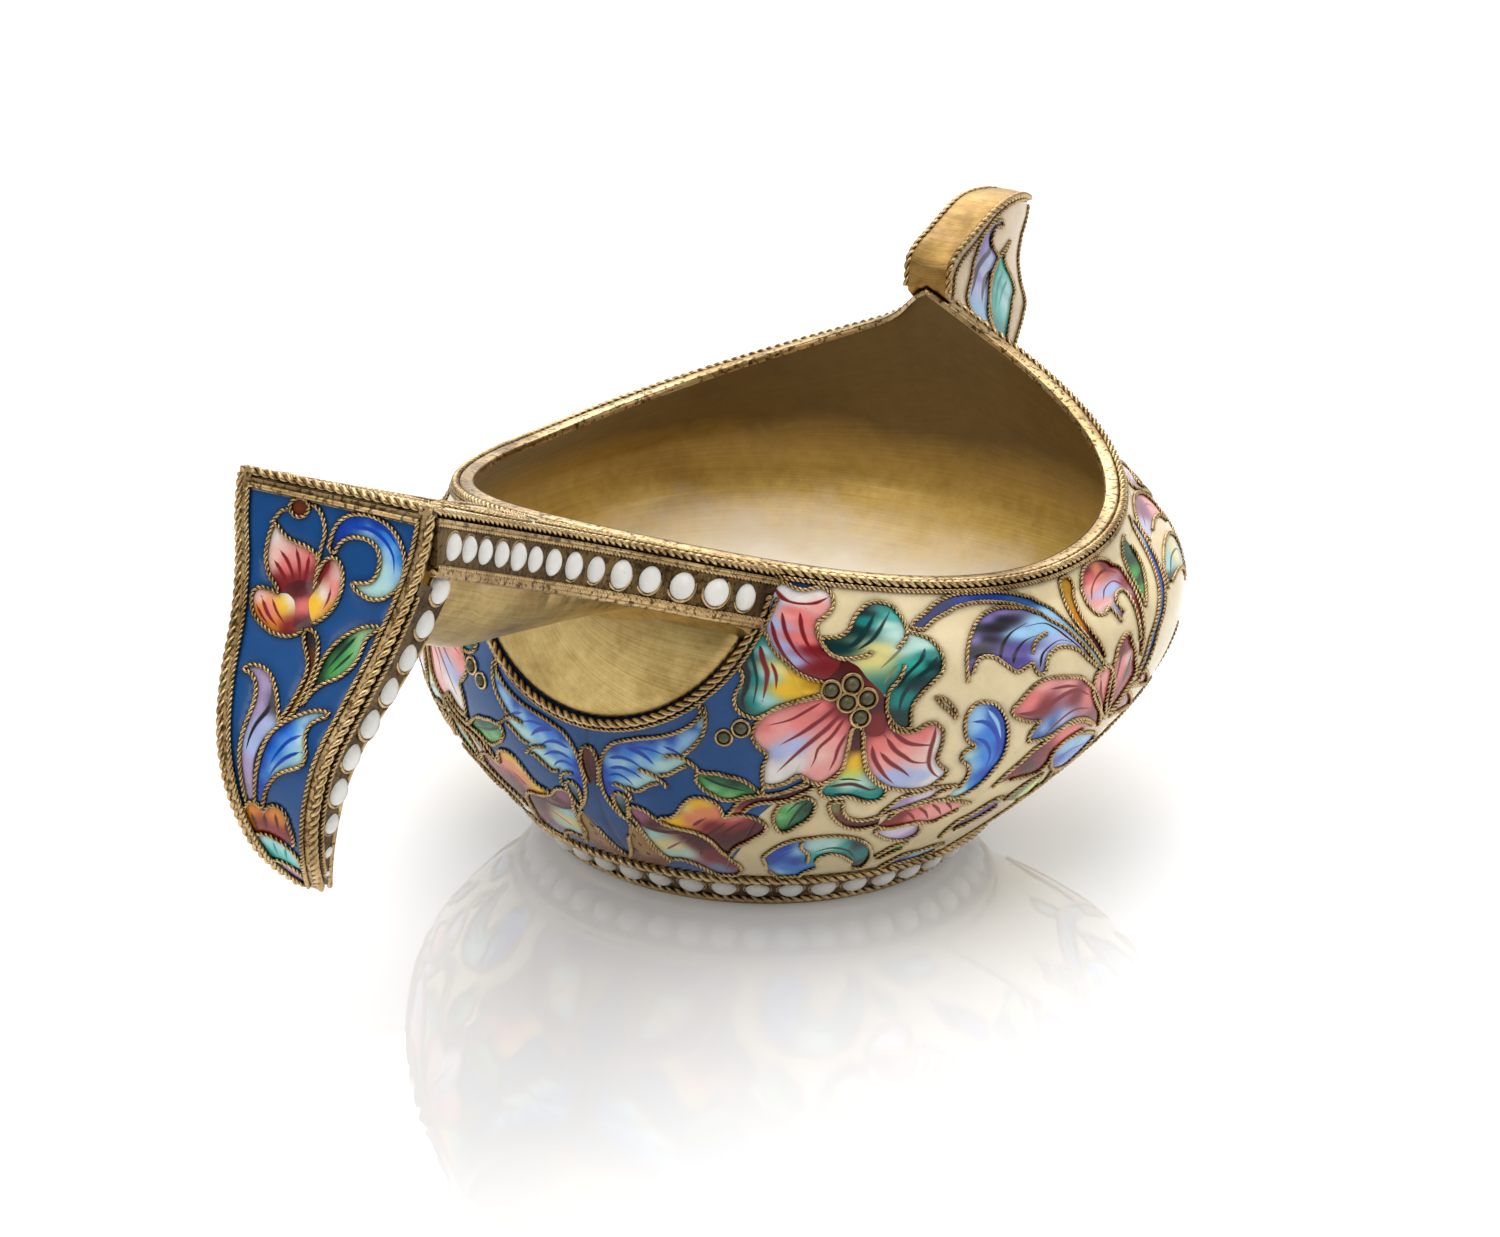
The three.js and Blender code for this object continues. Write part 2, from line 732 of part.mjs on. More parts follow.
// Prow curves in side view, with the half width in y
const prowCurve = (shares) =>
  curveThrough(shares.map(([reach, lift]) => [prowRoot + prowReach * reach, 0, prowRootHeight + prowLift * lift]));
const prowInner = prowCurve(prowInnerShares);
const prowKeel = prowCurve(prowKeelShares);

// A point behind the inner face curve, measured square to it
function prowInnerPoint(share, behind, y) {
  const point = prowInner.getPoint(share);
  const along = prowInner.getTangent(share);
  return vec(point.x + behind * along.z, y, point.z - behind * along.x);
}

function prowSide(side) {
  const place = (inward) => (u, v) => {
    const inner = prowInnerPoint(u * prowEndShare, edgeInset, 0);
    const keel = prowKeel.getPoint(u * prowEndShare);
    const reach = inner.distanceTo(keel);
    const stop = Math.max(0, 1 - (wireDiameter + seam) / reach);
    const point = inner.lerp(keel, v * stop);
    const wide = 2 * prowHalfWidth(u * prowEndShare);
    const half = prowKeelWidth + Math.max(0, wide - prowKeelWidth) * (1 - v ** keelCurveShare);
    return vec(point.x, side * (half / 2 - inward), point.z);
  };
  return clearOfBowl(slab(prowSteps, 3, place(0), place(prowSheet)));
}

// The inner face draws in to a point over its last stretch
function prowHalfWidth(share) {
  const over = Math.max(0, (share - prowTaperShare) / (1 - prowTaperShare));
  return (prowWidth / 2) * (1 - over ** 2 * (1 - prowTipShare));
}

function prowInnerPlate() {
  const place = (depth) => (u, v) => {
    const share = prowRootShare + (prowPlateEndShare - prowRootShare) * u;
    return prowInnerPoint(share, depth, (prowHalfWidth(share) - ropeDiameter) * (2 * v - 1));
  };
  return clearOfBowl(slab(prowSteps, 1, place(0), place(prowInnerSheet)));
}

function prowRope(side) {
  const points = [];
  for (let i = 0; i <= prowSteps * 2; i += 1) {
    const share = prowRootShare + (1 - prowRootShare) * (i / (prowSteps * 2));
    points.push(prowInnerPoint(share, ropeRadius, side * prowHalfWidth(share)));
  }
  return clearOfBowl(wire(points, ropeRadius));
}

function prowKeelWire() {
  const points = [];
  for (let i = 0; i <= prowSteps * 2; i += 1) points.push(prowKeel.getPoint((i / (prowSteps * 2)) * prowEndShare));
  return clearOfBowl(wire(points, wireRadius));
}

// Granules: one in the middle of the flower and a ring about it, on one small plate
function flowerGranules(side) {
  const turn = flowerTurnShare;
  const normal = wallNormal(turn, flowerRiseShare);
  const across = up.clone().cross(normal).normalize();
  const over = normal.clone().cross(across);
  const seat = wallInside(turn, flowerRiseShare, -seam - seam / 2);
  const radius = granuleDiameter + granuleDiameter / 2;
  const plate = new THREE.CylinderGeometry(radius, radius, seam, granuleSides * 2);
  plate.applyQuaternion(new THREE.Quaternion().setFromUnitVectors(vec(0, 1, 0), normal));
  plate.translate(seat.x, seat.y, seat.z);
  const granule = (place) => bead(place, normal, granuleDiameter, granuleHeight, granuleSides);
  const granules = [granule(seat)];
  for (let k = 0; k < granuleSides; k += 1) {
    const angle = (2 * Math.PI * k) / granuleSides;
    const place = seat.clone().addScaledVector(across, granuleDiameter * Math.cos(angle));
    granules.push(granule(place.addScaledVector(over, granuleDiameter * Math.sin(angle))));
  }
  const near = withBeads(plate, granules);
  return side < 0 ? near : mirrored(near);
}

// Finishes
const gilt = [0xb08a4a, 0.35, 1];
const giltPale = [0xc9b07c, 0.4, 1];
const giltWire = [0xb59a6a, 0.45, 1];
const beadWhite = [0xf0ede6, 0.25, 0];
const enamelBlue = [0x22548a, 0.2, 0];
const enamelCream = [0xe8d6af, 0.2, 0];
const enamelPink = [0xd9c3b0, 0.2, 0];

function piece(name, geometry, [color, roughness, metalness]) {
  const bare = geometry.index ? geometry.toNonIndexed() : geometry;
  bare.computeVertexNormals();
  const mesh = new THREE.Mesh(bare, new THREE.MeshStandardMaterial({ color, roughness, metalness }));
  mesh.name = name;
  return mesh;
}

function foot() {
  const group = new THREE.Group();
  group.add(
    piece("foot_base", footBase(), gilt),
    piece("foot_bead_band", footBeadBand(), beadWhite),
    piece("foot_rope_lower", footRope(-1), giltWire),
    piece("foot_rope_upper", footRope(1), giltWire),
  );
  return group;
}

function bowl() {
  const group = new THREE.Group();
  group.add(
    piece("bowl_shell", bowlShell(), gilt),
    piece("rim_band", rimBand(), giltPale),
    piece("rim_rope_upper", rimRopeUpper(), giltWire),
    piece("rim_rope_lower", rimRopeLower(), giltWire),
    piece("blue_field", blueField(), enamelBlue),
    piece("cream_field_near", creamField(-1), enamelCream),
    piece("cream_field_far", creamField(1), enamelCream),
    piece("flower_granules_near", flowerGranules(-1), giltWire),
    piece("flower_granules_far", flowerGranules(1), giltWire),
    piece("seat_panel", seatPanel(), gilt),
    piece("seat_panel_rope", seatPanelRope(), giltWire),
  );
  return group;
}

function handle() {
  const group = new THREE.Group();
  group.add(
    piece("handle_top_enamel", handleTopEnamel(), enamelPink),
    piece("handle_top_plate", handleTopPlate(), giltPale),
    piece("handle_underside", handleUnderside(), gilt),
  );
  for (const [side, word] of [[-1, "near"], [1, "far"]]) {
    group.add(
      piece(`handle_bead_strip_${word}`, handleStrip(side), beadWhite),
      piece(`handle_edge_rope_${word}`, handleEdgeRope(side), giltWire),
      piece(`handle_lower_wire_${word}`, handleLowerWire(side), giltWire),
    );
  }
  return group;
}

function terminal() {
  const group = new THREE.Group();
  group.add(
    piece("terminal_enamel", terminalEnamel(), enamelBlue),
    piece("terminal_front_plate", terminalFrontPlate(), giltPale),
    piece("terminal_rear_plate", terminalRearPlate(), gilt),
    piece("terminal_top_rope", terminalTopRope(), giltWire),
  );
  for (const [side, word] of [[-1, "near"], [1, "far"]]) {
    group.add(
      piece(`terminal_bead_side_${word}`, terminalSide(side), beadWhite),
      piece(`terminal_edge_rope_${word}`, terminalEdgeRope(side), giltWire),
    );
  }
  return group;
}

function prow() {
  const group = new THREE.Group();
  group.add(
    piece("prow_inner_plate", prowInnerPlate(), gilt),
    piece("prow_keel_wire", prowKeelWire(), giltWire),
  );
  for (const [side, word] of [[-1, "near"], [1, "far"]]) {
    group.add(
      piece(`prow_side_${word}`, prowSide(side), enamelCream),
      piece(`prow_rope_${word}`, prowRope(side), giltWire),
    );
  }
  return group;
}

const kovsh = new THREE.Group();
kovsh.add(foot(), bowl(), handle(), terminal(), prow());

export default kovsh;
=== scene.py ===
import math

import bmesh
import bpy
import numpy as np
from mathutils import Matrix, Vector
from mathutils.bvhtree import BVHTree
from mathutils.geometry import delaunay_2d_cdt
from mathutils.kdtree import KDTree


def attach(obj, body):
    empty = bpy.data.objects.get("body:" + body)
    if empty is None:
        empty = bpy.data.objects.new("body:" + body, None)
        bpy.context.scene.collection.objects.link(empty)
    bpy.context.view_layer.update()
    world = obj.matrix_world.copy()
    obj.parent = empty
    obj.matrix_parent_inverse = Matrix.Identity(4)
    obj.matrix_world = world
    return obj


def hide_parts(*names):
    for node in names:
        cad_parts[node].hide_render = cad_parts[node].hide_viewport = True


# Kovsh: a silver-gilt drinking bowl with shaded enamel in twisted wire cells.
# Sizes are in millimetres, the prow points along +X and the handle along -X.
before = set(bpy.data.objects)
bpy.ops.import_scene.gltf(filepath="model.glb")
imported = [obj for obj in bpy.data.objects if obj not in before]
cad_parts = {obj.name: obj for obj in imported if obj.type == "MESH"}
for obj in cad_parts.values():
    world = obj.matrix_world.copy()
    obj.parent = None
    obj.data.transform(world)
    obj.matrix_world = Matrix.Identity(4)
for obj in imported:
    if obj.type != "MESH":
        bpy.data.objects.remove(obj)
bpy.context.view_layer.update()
print("frame loaded")

mm = 0.001
scene = bpy.context.scene


# small helpers for nodes, colours and meshes


def fillInputs(tree, node, inputs):
    for key, value in inputs.items():
        socket = node.inputs[key]
        if isinstance(value, bpy.types.Node):
            value = value.outputs[0]
        if isinstance(value, bpy.types.NodeSocket):
            tree.links.new(value, socket)
        else:
            socket.default_value = value


def addNode(tree, kind, inputs=None, **settings):
    node = tree.nodes.new(kind)
    for name, value in settings.items():
        setattr(node, name, value)
    fillInputs(tree, node, inputs or {})
    return node


def colour(hexColour):
    parts = [int(hexColour[i : i + 2], 16) / 255 for i in (1, 3, 5)]
    return (*[c / 12.92 if c < 0.04045 else ((c + 0.055) / 1.055) ** 2.4 for c in parts], 1.0)


def newMaterial(name):
    material = bpy.data.materials.new(name)
    material.use_nodes = True
    tree = material.node_tree
    tree.nodes.clear()
    shader = addNode(tree, "ShaderNodeBsdfPrincipled")
    output = addNode(tree, "ShaderNodeOutputMaterial", {"Surface": shader})
    output.is_active_output = True
    return material, tree, shader


def placed(name, data):
    thing = bpy.data.objects.new(name, data)
    scene.collection.objects.link(thing)
    return thing


def meshPiece(name, points, faces, material, uv=None, sharpAbove=40, paint=None):
    mesh = bpy.data.meshes.new(name)
    mesh.from_pydata([tuple(p) for p in np.asarray(points, float) * mm], [], [tuple(f) for f in faces])
    if uv is not None:
        layer = mesh.uv_layers.new(name="sheetMm")
        corners = np.zeros(len(mesh.loops), np.int32)
        mesh.loops.foreach_get("vertex_index", corners)
        layer.data.foreach_set("uv", np.asarray(uv, np.float32)[corners].ravel())
    if paint is not None:
        mesh.color_attributes.new("paint", "FLOAT_COLOR", "CORNER").data.foreach_set("color", paint.ravel())
    mesh.materials.append(material)
    body = bmesh.new()
    body.from_mesh(mesh)
    bmesh.ops.remove_doubles(body, verts=body.verts, dist=1e-7)
    bmesh.ops.dissolve_degenerate(body, edges=body.edges, dist=1e-8)
    bmesh.ops.recalc_face_normals(body, faces=body.faces)
    for edge in body.edges:
        edge.smooth = edge.calc_face_angle(0) < math.radians(sharpAbove)
    for face in body.faces:
        face.smooth = True
    body.to_mesh(mesh)
    body.free()
    return placed(name, mesh)


def settle(piece, node=None):
    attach(piece, "root")
    if node:
        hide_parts(node)


def loft(rows, closed=True, ring=True):
    # rows of points joined into a skin; a ring row is a closed loop, and an open skin of rings gets caps
    rows = np.asarray(rows, float)
    count, width = rows.shape[:2]
    faces = []
    for i in range(count if closed else count - 1):
        here, there = i * width, ((i + 1) % count) * width
        for j in range(width if ring else width - 1):
            k = (j + 1) % width
            faces.append((here + j, there + j, there + k, here + k))
    if not closed:
        last = (count - 1) * width
        for j in range(width // 2 - 1):
            k = width - 1 - j
            faces.append((j, j + 1, k - 1, k))
            faces.append((last + k, last + k - 1, last + j + 1, last + j))
    return rows.reshape(-1, 3), faces


def turnedSkin(name, rows, material, uv, node, ring=True, sharpAbove=40):
    # rows that each run once round the bowl, with brush marks along both ways
    points, faces = loft(np.stack(rows, 1), ring=ring)
    marks = np.stack(np.meshgrid(*uv, indexing="ij"), -1).reshape(-1, 2)
    settle(meshPiece(name, points, faces, material, marks, sharpAbove), node)


def pathThrough(points, shares):
    # centripetal curve through the points, read at shares of 0 to 1
    points = np.asarray(points, float)
    shares = np.clip(np.asarray(shares, float), 0, 1)
    padded = np.vstack([2 * points[0] - points[1], points, 2 * points[-1] - points[-2]])
    spot = shares * (len(points) - 1)
    index = np.minimum(spot.astype(int), len(points) - 2)
    w = (spot - index)[..., None]
    a, b, c, d = (padded[index + k] for k in range(4))
    spans = (b - a, c - b, d - c)
    gap = [np.maximum(np.linalg.norm(span, axis=-1), 1e-9)[..., None] ** 0.5 for span in spans]
    leave = ((b - a) / gap[0] - (c - a) / (gap[0] + gap[1]) + (c - b) / gap[1]) * gap[1]
    meet = ((c - b) / gap[1] - (d - b) / (gap[1] + gap[2]) + (d - c) / gap[2]) * gap[1]
    return b + leave * w + (3 * (c - b) - 2 * leave - meet) * w**2 + (2 * (b - c) + leave + meet) * w**3


def headingOf(curve, share):
    # the way that a curve runs at each share
    return curve(np.minimum(share + 1e-3, 1)) - curve(np.maximum(share - 1e-3, 0))


def runOf(points):
    # distance from the start of a line to each of its points
    return np.cumsum(np.r_[0, np.linalg.norm(np.diff(points, axis=0), axis=1)])


def unit(vectors):
    return vectors / np.maximum(np.linalg.norm(vectors, axis=-1, keepdims=True), 1e-12)


# the body's curves, with the same named sizes as the solids

foot = {"ringRadius": 17.5, "ringHeight": 2.0, "bandWidth": 2.8, "beadCount": 43}
rim = {"length": 52.4, "width": 46.8, "shift": 2.6, "height": 26.2, "bandWidth": 1.1}
rimRise = {"handle": 5.8, "prow": 9.5, "root": 1.9, "rootPull": 2.8, "rootWidth": 3.0}
belly = {"length": 62.2, "width": 58.8, "shift": 4.2, "height": 19.3}
ropeWide = 0.62
seam = 0.3
wallOut = rim["bandWidth"] + 2 * seam + ropeWide  # from the inner edge of the mouth to the enamel
wallDrop = ropeWide / 2 + 2 * (ropeWide + seam)


def ovalAt(turn):
    # a rounder end at the handle than at the prow
    c, s = np.cos(2 * np.pi * turn), np.sin(2 * np.pi * turn)
    power = np.where(c > 0, 2 / 2.4, 2 / 1.95)
    return np.sign(c) * np.abs(c) ** power, np.sign(s) * np.abs(s) ** power


def rimPoint(turn, out=0.0, drop=0.0):
    c, s = ovalAt(np.asarray(turn, float))
    y = (rim["width"] / 2 + out) * s
    root = np.where(c > 0, np.exp(-((y / rimRise["rootWidth"]) ** 2)), 0)
    back = np.maximum(0, (0.46 - c) / 1.46) ** 2.4
    front = np.where(c > 0, (1 - np.abs(s)) ** 1.1, 0)
    x = rim["shift"] + (rim["length"] / 2 + out) * c - rimRise["rootPull"] * root
    z = rim["height"] + rimRise["handle"] * back + rimRise["prow"] * front + rimRise["root"] * root
    return np.stack([x, y, z - drop], -1)


def footPoint(turn, along, inward=0.0):
    angle = 2 * np.pi * np.asarray(turn, float)
    radius = foot["ringRadius"] + (along - inward) * math.sqrt(0.5)
    height = foot["ringHeight"] + (along + inward) * math.sqrt(0.5)
    return np.stack([radius * np.cos(angle), radius * np.sin(angle), height + 0 * angle], -1)


def bezier(a, b, c, d, t):
    t = np.asarray(t)[..., None]
    return a * (1 - t) ** 3 + 3 * b * t * (1 - t) ** 2 + 3 * c * t**2 * (1 - t) + d * t**3


def wallPoint(turn, rise):
    # from the foot out to the belly, then up and in to the rim
    turn, rise = np.broadcast_arrays(np.asarray(turn, float), np.asarray(rise, float))
    c, s = ovalAt(turn)
    wide, broad = belly["length"] / 2, belly["width"] / 2
    middle = np.stack([belly["shift"] + wide * c, broad * s, belly["height"] + 0 * c], -1)
    footTop = foot["bandWidth"] / 2 + ropeWide + 2 * seam
    low = footPoint(turn, footTop)
    reach = np.linalg.norm(low - middle, axis=-1) * 0.4
    lowLeave = footPoint(turn, footTop + reach)
    lowMeet = middle - np.stack([0 * c, 0 * c, 0.45 * (middle[..., 2] - low[..., 2])], -1)
    lower = bezier(low, lowLeave, lowMeet, middle, np.clip(rise * 2, 0, 1))
    top = rimPoint(turn, wallOut, wallDrop)
    climb = top[..., 2] - middle[..., 2]
    topLeave = middle + np.stack([0 * c, 0 * c, 0.55 * climb], -1)
    topMeet = (top + middle) / 2
    topMeet[..., 2] = top[..., 2] - 0.3 * climb
    upper = bezier(middle, topLeave, topMeet, top, np.clip(rise * 2 - 1, 0, 1))
    return np.where((rise < 0.5)[..., None], lower, upper)


def wallAt(turn, rise, out):
    # a point of the wall, moved out along its normal
    across = wallPoint(turn + 1e-3, rise) - wallPoint(turn - 1e-3, rise)
    up = headingOf(lambda share: wallPoint(turn, share), rise)
    return wallPoint(turn, rise) + unit(np.cross(across, up)) * np.asarray(out)[..., None]


# camera: solved from the foot's bead ring, the rim and the terminal

cameraLook = {
    "place": (-0.353358, -0.190774, 0.169151),
    "right": (0.4864, -0.87327, 0.02849),
    "up": (0.29601, 0.19537, 0.93499),
    "forward": (0.82207, 0.44635, -0.35353),
    "focalPixels": 5500,
    "pictureWide": 1500,
    "middle": (750, 618.5),
    "sensorWide": 36,
}


def addCamera():
    data = bpy.data.cameras.new("camera")
    data.sensor_width = cameraLook["sensorWide"]
    data.lens = cameraLook["sensorWide"] * cameraLook["focalPixels"] / cameraLook["pictureWide"]
    data.clip_start, data.clip_end = 0.01, 20
    camera = placed("camera", data)
    turn = Matrix([cameraLook["right"], cameraLook["up"], [-c for c in cameraLook["forward"]]]).transposed()
    camera.matrix_world = Matrix.Translation(cameraLook["place"]) @ turn.to_4x4()
    scene.camera = camera


def sightLine(pixel):
    side = (pixel[0] - cameraLook["middle"][0]) / cameraLook["focalPixels"]
    rise = (cameraLook["middle"][1] - pixel[1]) / cameraLook["focalPixels"]
    forward, right, up = (Vector(cameraLook[word]) for word in ("forward", "right", "up"))
    return Vector(cameraLook["place"]) / mm, (forward + side * right + rise * up).normalized()


addCamera()
print("camera placed")


# metals: colours, roughness, width of the brush marks in mm, and how much stain and how many pits show

giltLooks = {
    # fire-gilt silver, brushed and slightly tarnished: warm, soft highlights with fine parallel marks
    "brushedGilt": {
        "bright": "#d4bb7e", "deep": "#a08349", "stain": "#6a5226",
        "rough": (0.28, 0.42), "brushMm": 0.12, "stainShare": 0.36, "pits": 0.0,
    },
    # the inside of the bowl: paler on the floor, where silver shows through and as painted light, and darker
    # under the rim as painted shade
    "bowlGilt": {
        "bright": "#efc969", "deep": "#c69c40", "stain": "#46310a", "floor": "#fbeed6", "metal": 0.3,
        "rough": (0.34, 0.5), "brushMm": 0.1, "stainShare": 0.3, "pits": 0.0,
        "wornAndLitFloor": (15.5, 20.0), "paintedRimShade": (18.0, 27.0), "paintedRimShadeShare": 0.9,
    },
    # the inner face of the prow, worn dull by handling
    "prowGilt": {
        "bright": "#c9a868", "deep": "#93703a", "stain": "#59431f",
        "rough": (0.36, 0.52), "brushMm": 0.14, "stainShare": 0.5, "pits": 0.0,
    },
    # the rubbed top of the rim and the frames: paler where the silver shows through
    "rubbedGilt": {
        "bright": "#e2c694", "deep": "#a8844f", "stain": "#4c3819",
        "rough": (0.28, 0.46), "brushMm": 0.16, "stainShare": 0.42, "pits": 0.75,
    },
    # the ground between the beads, darkened as painted shade in the gaps
    "paintedShadeGilt": {
        "bright": "#846a40", "deep": "#443220", "stain": "#1e150c",
        "rough": (0.4, 0.6), "brushMm": 0.2, "stainShare": 0.5, "pits": 0.6,
    },
    # drawn and twisted wire, dark in its hollows
    "twistedGilt": {
        "bright": "#e4c896", "deep": "#b28d58", "stain": "#38290f",
        "rough": (0.22, 0.38), "brushMm": 0.2, "stainShare": 0.35, "pits": 0.35,
    },
}


def giltMaterial(name):
    look = giltLooks[name]
    material, tree, shader = newMaterial(name)
    place = addNode(tree, "ShaderNodeTexCoord").outputs["Object"]
    sheet = addNode(tree, "ShaderNodeUVMap", uv_map="sheetMm")
    along = addNode(tree, "ShaderNodeMapping", {"Vector": sheet, "Scale": (0.07, 1 / look["brushMm"], 1)})
    values = {"Vector": sheet, "Rotation": (0, 0, 0.35), "Scale": (0.12, 2.6, 1)}
    slant = addNode(tree, "ShaderNodeMapping", values)
    noises = []
    # broad clouds, fine mottling, pits, brush marks and scratches
    for vector, scale, detail, rough in (
        (place, 1 / (9 * mm), 6.0, 0.62),
        (place, 1 / (1.3 * mm), 5.0, 0.7),
        (place, 1 / (0.42 * mm), 3.0, 0.6),
        (along, 1.0, 4.0, 0.6),
        (slant, 1.0, 7.0, 0.75),
    ):
        values = {"Vector": vector, "Scale": scale, "Detail": detail, "Roughness": rough}
        noises.append(addNode(tree, "ShaderNodeTexNoise", values))
    cloud, fine, pit, brush, scratch = noises
    mottled = addNode(tree, "ShaderNodeMath", {0: cloud, 1: fine}, operation="ADD")
    toned = addNode(tree, "ShaderNodeMath", {0: mottled, 1: brush}, operation="ADD")
    ranges = [(toned, 1.15, 1.85, 0, 1), (scratch, 0.35, 0.65, *look["rough"])]
    ranges += [(pit, 0.38, 0.5, look["pits"], 0), (cloud, 0.34, 0.5, look["stainShare"], 0)]
    layers = ["stain"]
    if "paintedRimShade" in look:
        # bright on the bowl's floor, darker towards its rim: painted light on the floor, partly worn gilding,
        # and painted shade in the stain colour under the rim
        level = addNode(tree, "ShaderNodeSeparateXYZ", {0: place}).outputs[2]
        wavy = addNode(tree, "ShaderNodeMath", {0: cloud, 1: 7 * mm, 2: level}, operation="MULTIPLY_ADD")
        (low, high), (start, end) = look["wornAndLitFloor"], look["paintedRimShade"]
        ranges += [(wavy, low * mm, high * mm, 1, 0), (wavy, start * mm, end * mm, 0, look["paintedRimShadeShare"])]
        layers += ["floor", "stain"]
    shares = []
    for value, start, end, first, last in ranges:
        values = {"Value": value, "From Min": start, "From Max": end, "To Min": first, "To Max": last}
        shares.append(addNode(tree, "ShaderNodeMapRange", values))
    tone, rough, pitted, *covers = shares
    ramp = addNode(tree, "ShaderNodeValToRGB", {"Fac": tone})
    ramp.color_ramp.elements[0].color = colour(look["deep"])
    ramp.color_ramp.elements[1].color = colour(look["bright"])
    tint = ramp
    for share, word in zip(covers, layers):
        values = {"Factor": share, 6: tint, 7: colour(look[word])}
        tint = addNode(tree, "ShaderNodeMix", values, data_type="RGBA").outputs[2]
    # dark patina sits in the hollows and in the pits
    hollow = addNode(tree, "ShaderNodeAmbientOcclusion", {"Distance": 0.45 * mm}, samples=6).outputs["AO"]
    bare = addNode(tree, "ShaderNodeMath", {0: hollow, 1: pitted}, operation="SUBTRACT")
    values = {"Value": bare, "From Min": 0.3, "From Max": 0.9, "To Min": 0.1}
    shade = addNode(tree, "ShaderNodeMapRange", values)
    values = {"Factor": shade, 6: colour(look["stain"]), 7: tint}
    dark = addNode(tree, "ShaderNodeMix", values, data_type="RGBA").outputs[2]
    marks = addNode(tree, "ShaderNodeMath", {0: brush, 1: scratch}, operation="ADD")
    bump = addNode(tree, "ShaderNodeBump", {"Height": marks, "Strength": 0.25, "Distance": 0.02 * mm})
    values = {"Base Color": dark, "Roughness": rough, "Normal": bump, "Metallic": look.get("metal", 1.0)}
    fillInputs(tree, shader, values)
    return material


brushedGilt, bowlGilt, prowGilt, rubbedGilt, paintedShadeGilt, twistedGilt = map(giltMaterial, giltLooks)


# enamels: fired glass, glossy, with a faint waviness and tiny pits

enamelLook = {"rough": 0.2, "specular": 0.32, "coat": 0.12, "coatRough": 0.05, "waveMm": 2.6, "speckMm": 0.5}


def enamelMaterial(name, plain=None):
    material, tree, shader = newMaterial(name)
    place = addNode(tree, "ShaderNodeTexCoord").outputs["Object"]
    if plain:
        paint = addNode(tree, "ShaderNodeRGB").outputs[0]
        paint.default_value = colour(plain)
    else:
        paint = addNode(tree, "ShaderNodeAttribute", attribute_name="paint").outputs["Color"]
    noises, tones = [], []
    for size, detail, rough, low, high, dark, bright in (
        ("waveMm", 5.0, 0.6, 0.3, 0.7, 0.9, 1.08),
        ("speckMm", 4.0, 0.7, 0.27, 0.34, 0.72, 1.0),
    ):
        values = {"Vector": place, "Scale": 1 / (enamelLook[size] * mm), "Detail": detail, "Roughness": rough}
        noises.append(addNode(tree, "ShaderNodeTexNoise", values))
        values = {"Value": noises[-1], "From Min": low, "From Max": high, "To Min": dark, "To Max": bright}
        tones.append(addNode(tree, "ShaderNodeMapRange", values))
    both = addNode(tree, "ShaderNodeMath", {0: tones[0], 1: tones[1]}, operation="MULTIPLY")
    tinted = addNode(tree, "ShaderNodeVectorMath", {0: paint, "Scale": both}, operation="SCALE")
    bump = addNode(tree, "ShaderNodeBump", {"Height": noises[0], "Strength": 0.35, "Distance": 0.05 * mm})
    fillInputs(tree, shader, {
        "Base Color": tinted,
        "Normal": bump,
        "Roughness": enamelLook["rough"],
        "Specular IOR Level": enamelLook["specular"],
        "Coat Weight": enamelLook["coat"],
        "Coat Roughness": enamelLook["coatRough"],
    })
    return material


firedEnamel = enamelMaterial("firedEnamel")
whiteBeadEnamel = enamelMaterial("whiteBeadEnamel", "#f3f1ea")
granuleEnamel = enamelMaterial("granuleEnamel", "#565438")
print("materials made")


def newTree(name, sizes):
    # a Geometry Nodes tree with an input in mm for each size
    tree = bpy.data.node_groups.new(name, "GeometryNodeTree")
    face = tree.interface
    face.new_socket(name="Geometry", in_out="INPUT", socket_type="NodeSocketGeometry")
    for word, value in sizes.items():
        face.new_socket(name=word, in_out="INPUT", socket_type="NodeSocketFloat").default_value = value * mm
    face.new_socket(name="Geometry", in_out="OUTPUT", socket_type="NodeSocketGeometry")
    return tree, addNode(tree, "NodeGroupInput").outputs


def endTree(tree, shape, material):
    smooth = addNode(tree, "GeometryNodeSetShadeSmooth", {"Geometry": shape})
    real = addNode(tree, "GeometryNodeRealizeInstances", {"Geometry": smooth})
    coated = addNode(tree, "GeometryNodeSetMaterial", {"Geometry": real, "Material": material})
    addNode(tree, "NodeGroupOutput", {0: coated})
    return tree


def applyTree(name, source, tree, values=None):
    holder = placed(name, source)
    modifier = holder.modifiers.new("shape", "NODES")
    modifier.node_group = tree
    for socket in tree.interface.items_tree:
        if socket.item_type == "SOCKET" and socket.in_out == "INPUT" and socket.name in (values or {}):
            modifier[socket.identifier] = values[socket.name]
    bpy.context.view_layer.update()
    ready = holder.evaluated_get(bpy.context.evaluated_depsgraph_get())
    mesh = bpy.data.meshes.new_from_object(ready)
    bpy.data.objects.remove(holder)
    mesh.name = name
    return placed(name, mesh)


# twisted wire and ropes: two strands wound round each other along every path

wireLooks = {
    "cloison": {"wide": 0.37, "lay": 0.8, "sides": 5, "step": 0.095},
    "farCloison": {"wide": 0.37, "lay": 0.8, "sides": 4, "step": 0.13},
    "rope": {"wide": 0.66, "lay": 1.5, "sides": 8, "step": 0.13},
}


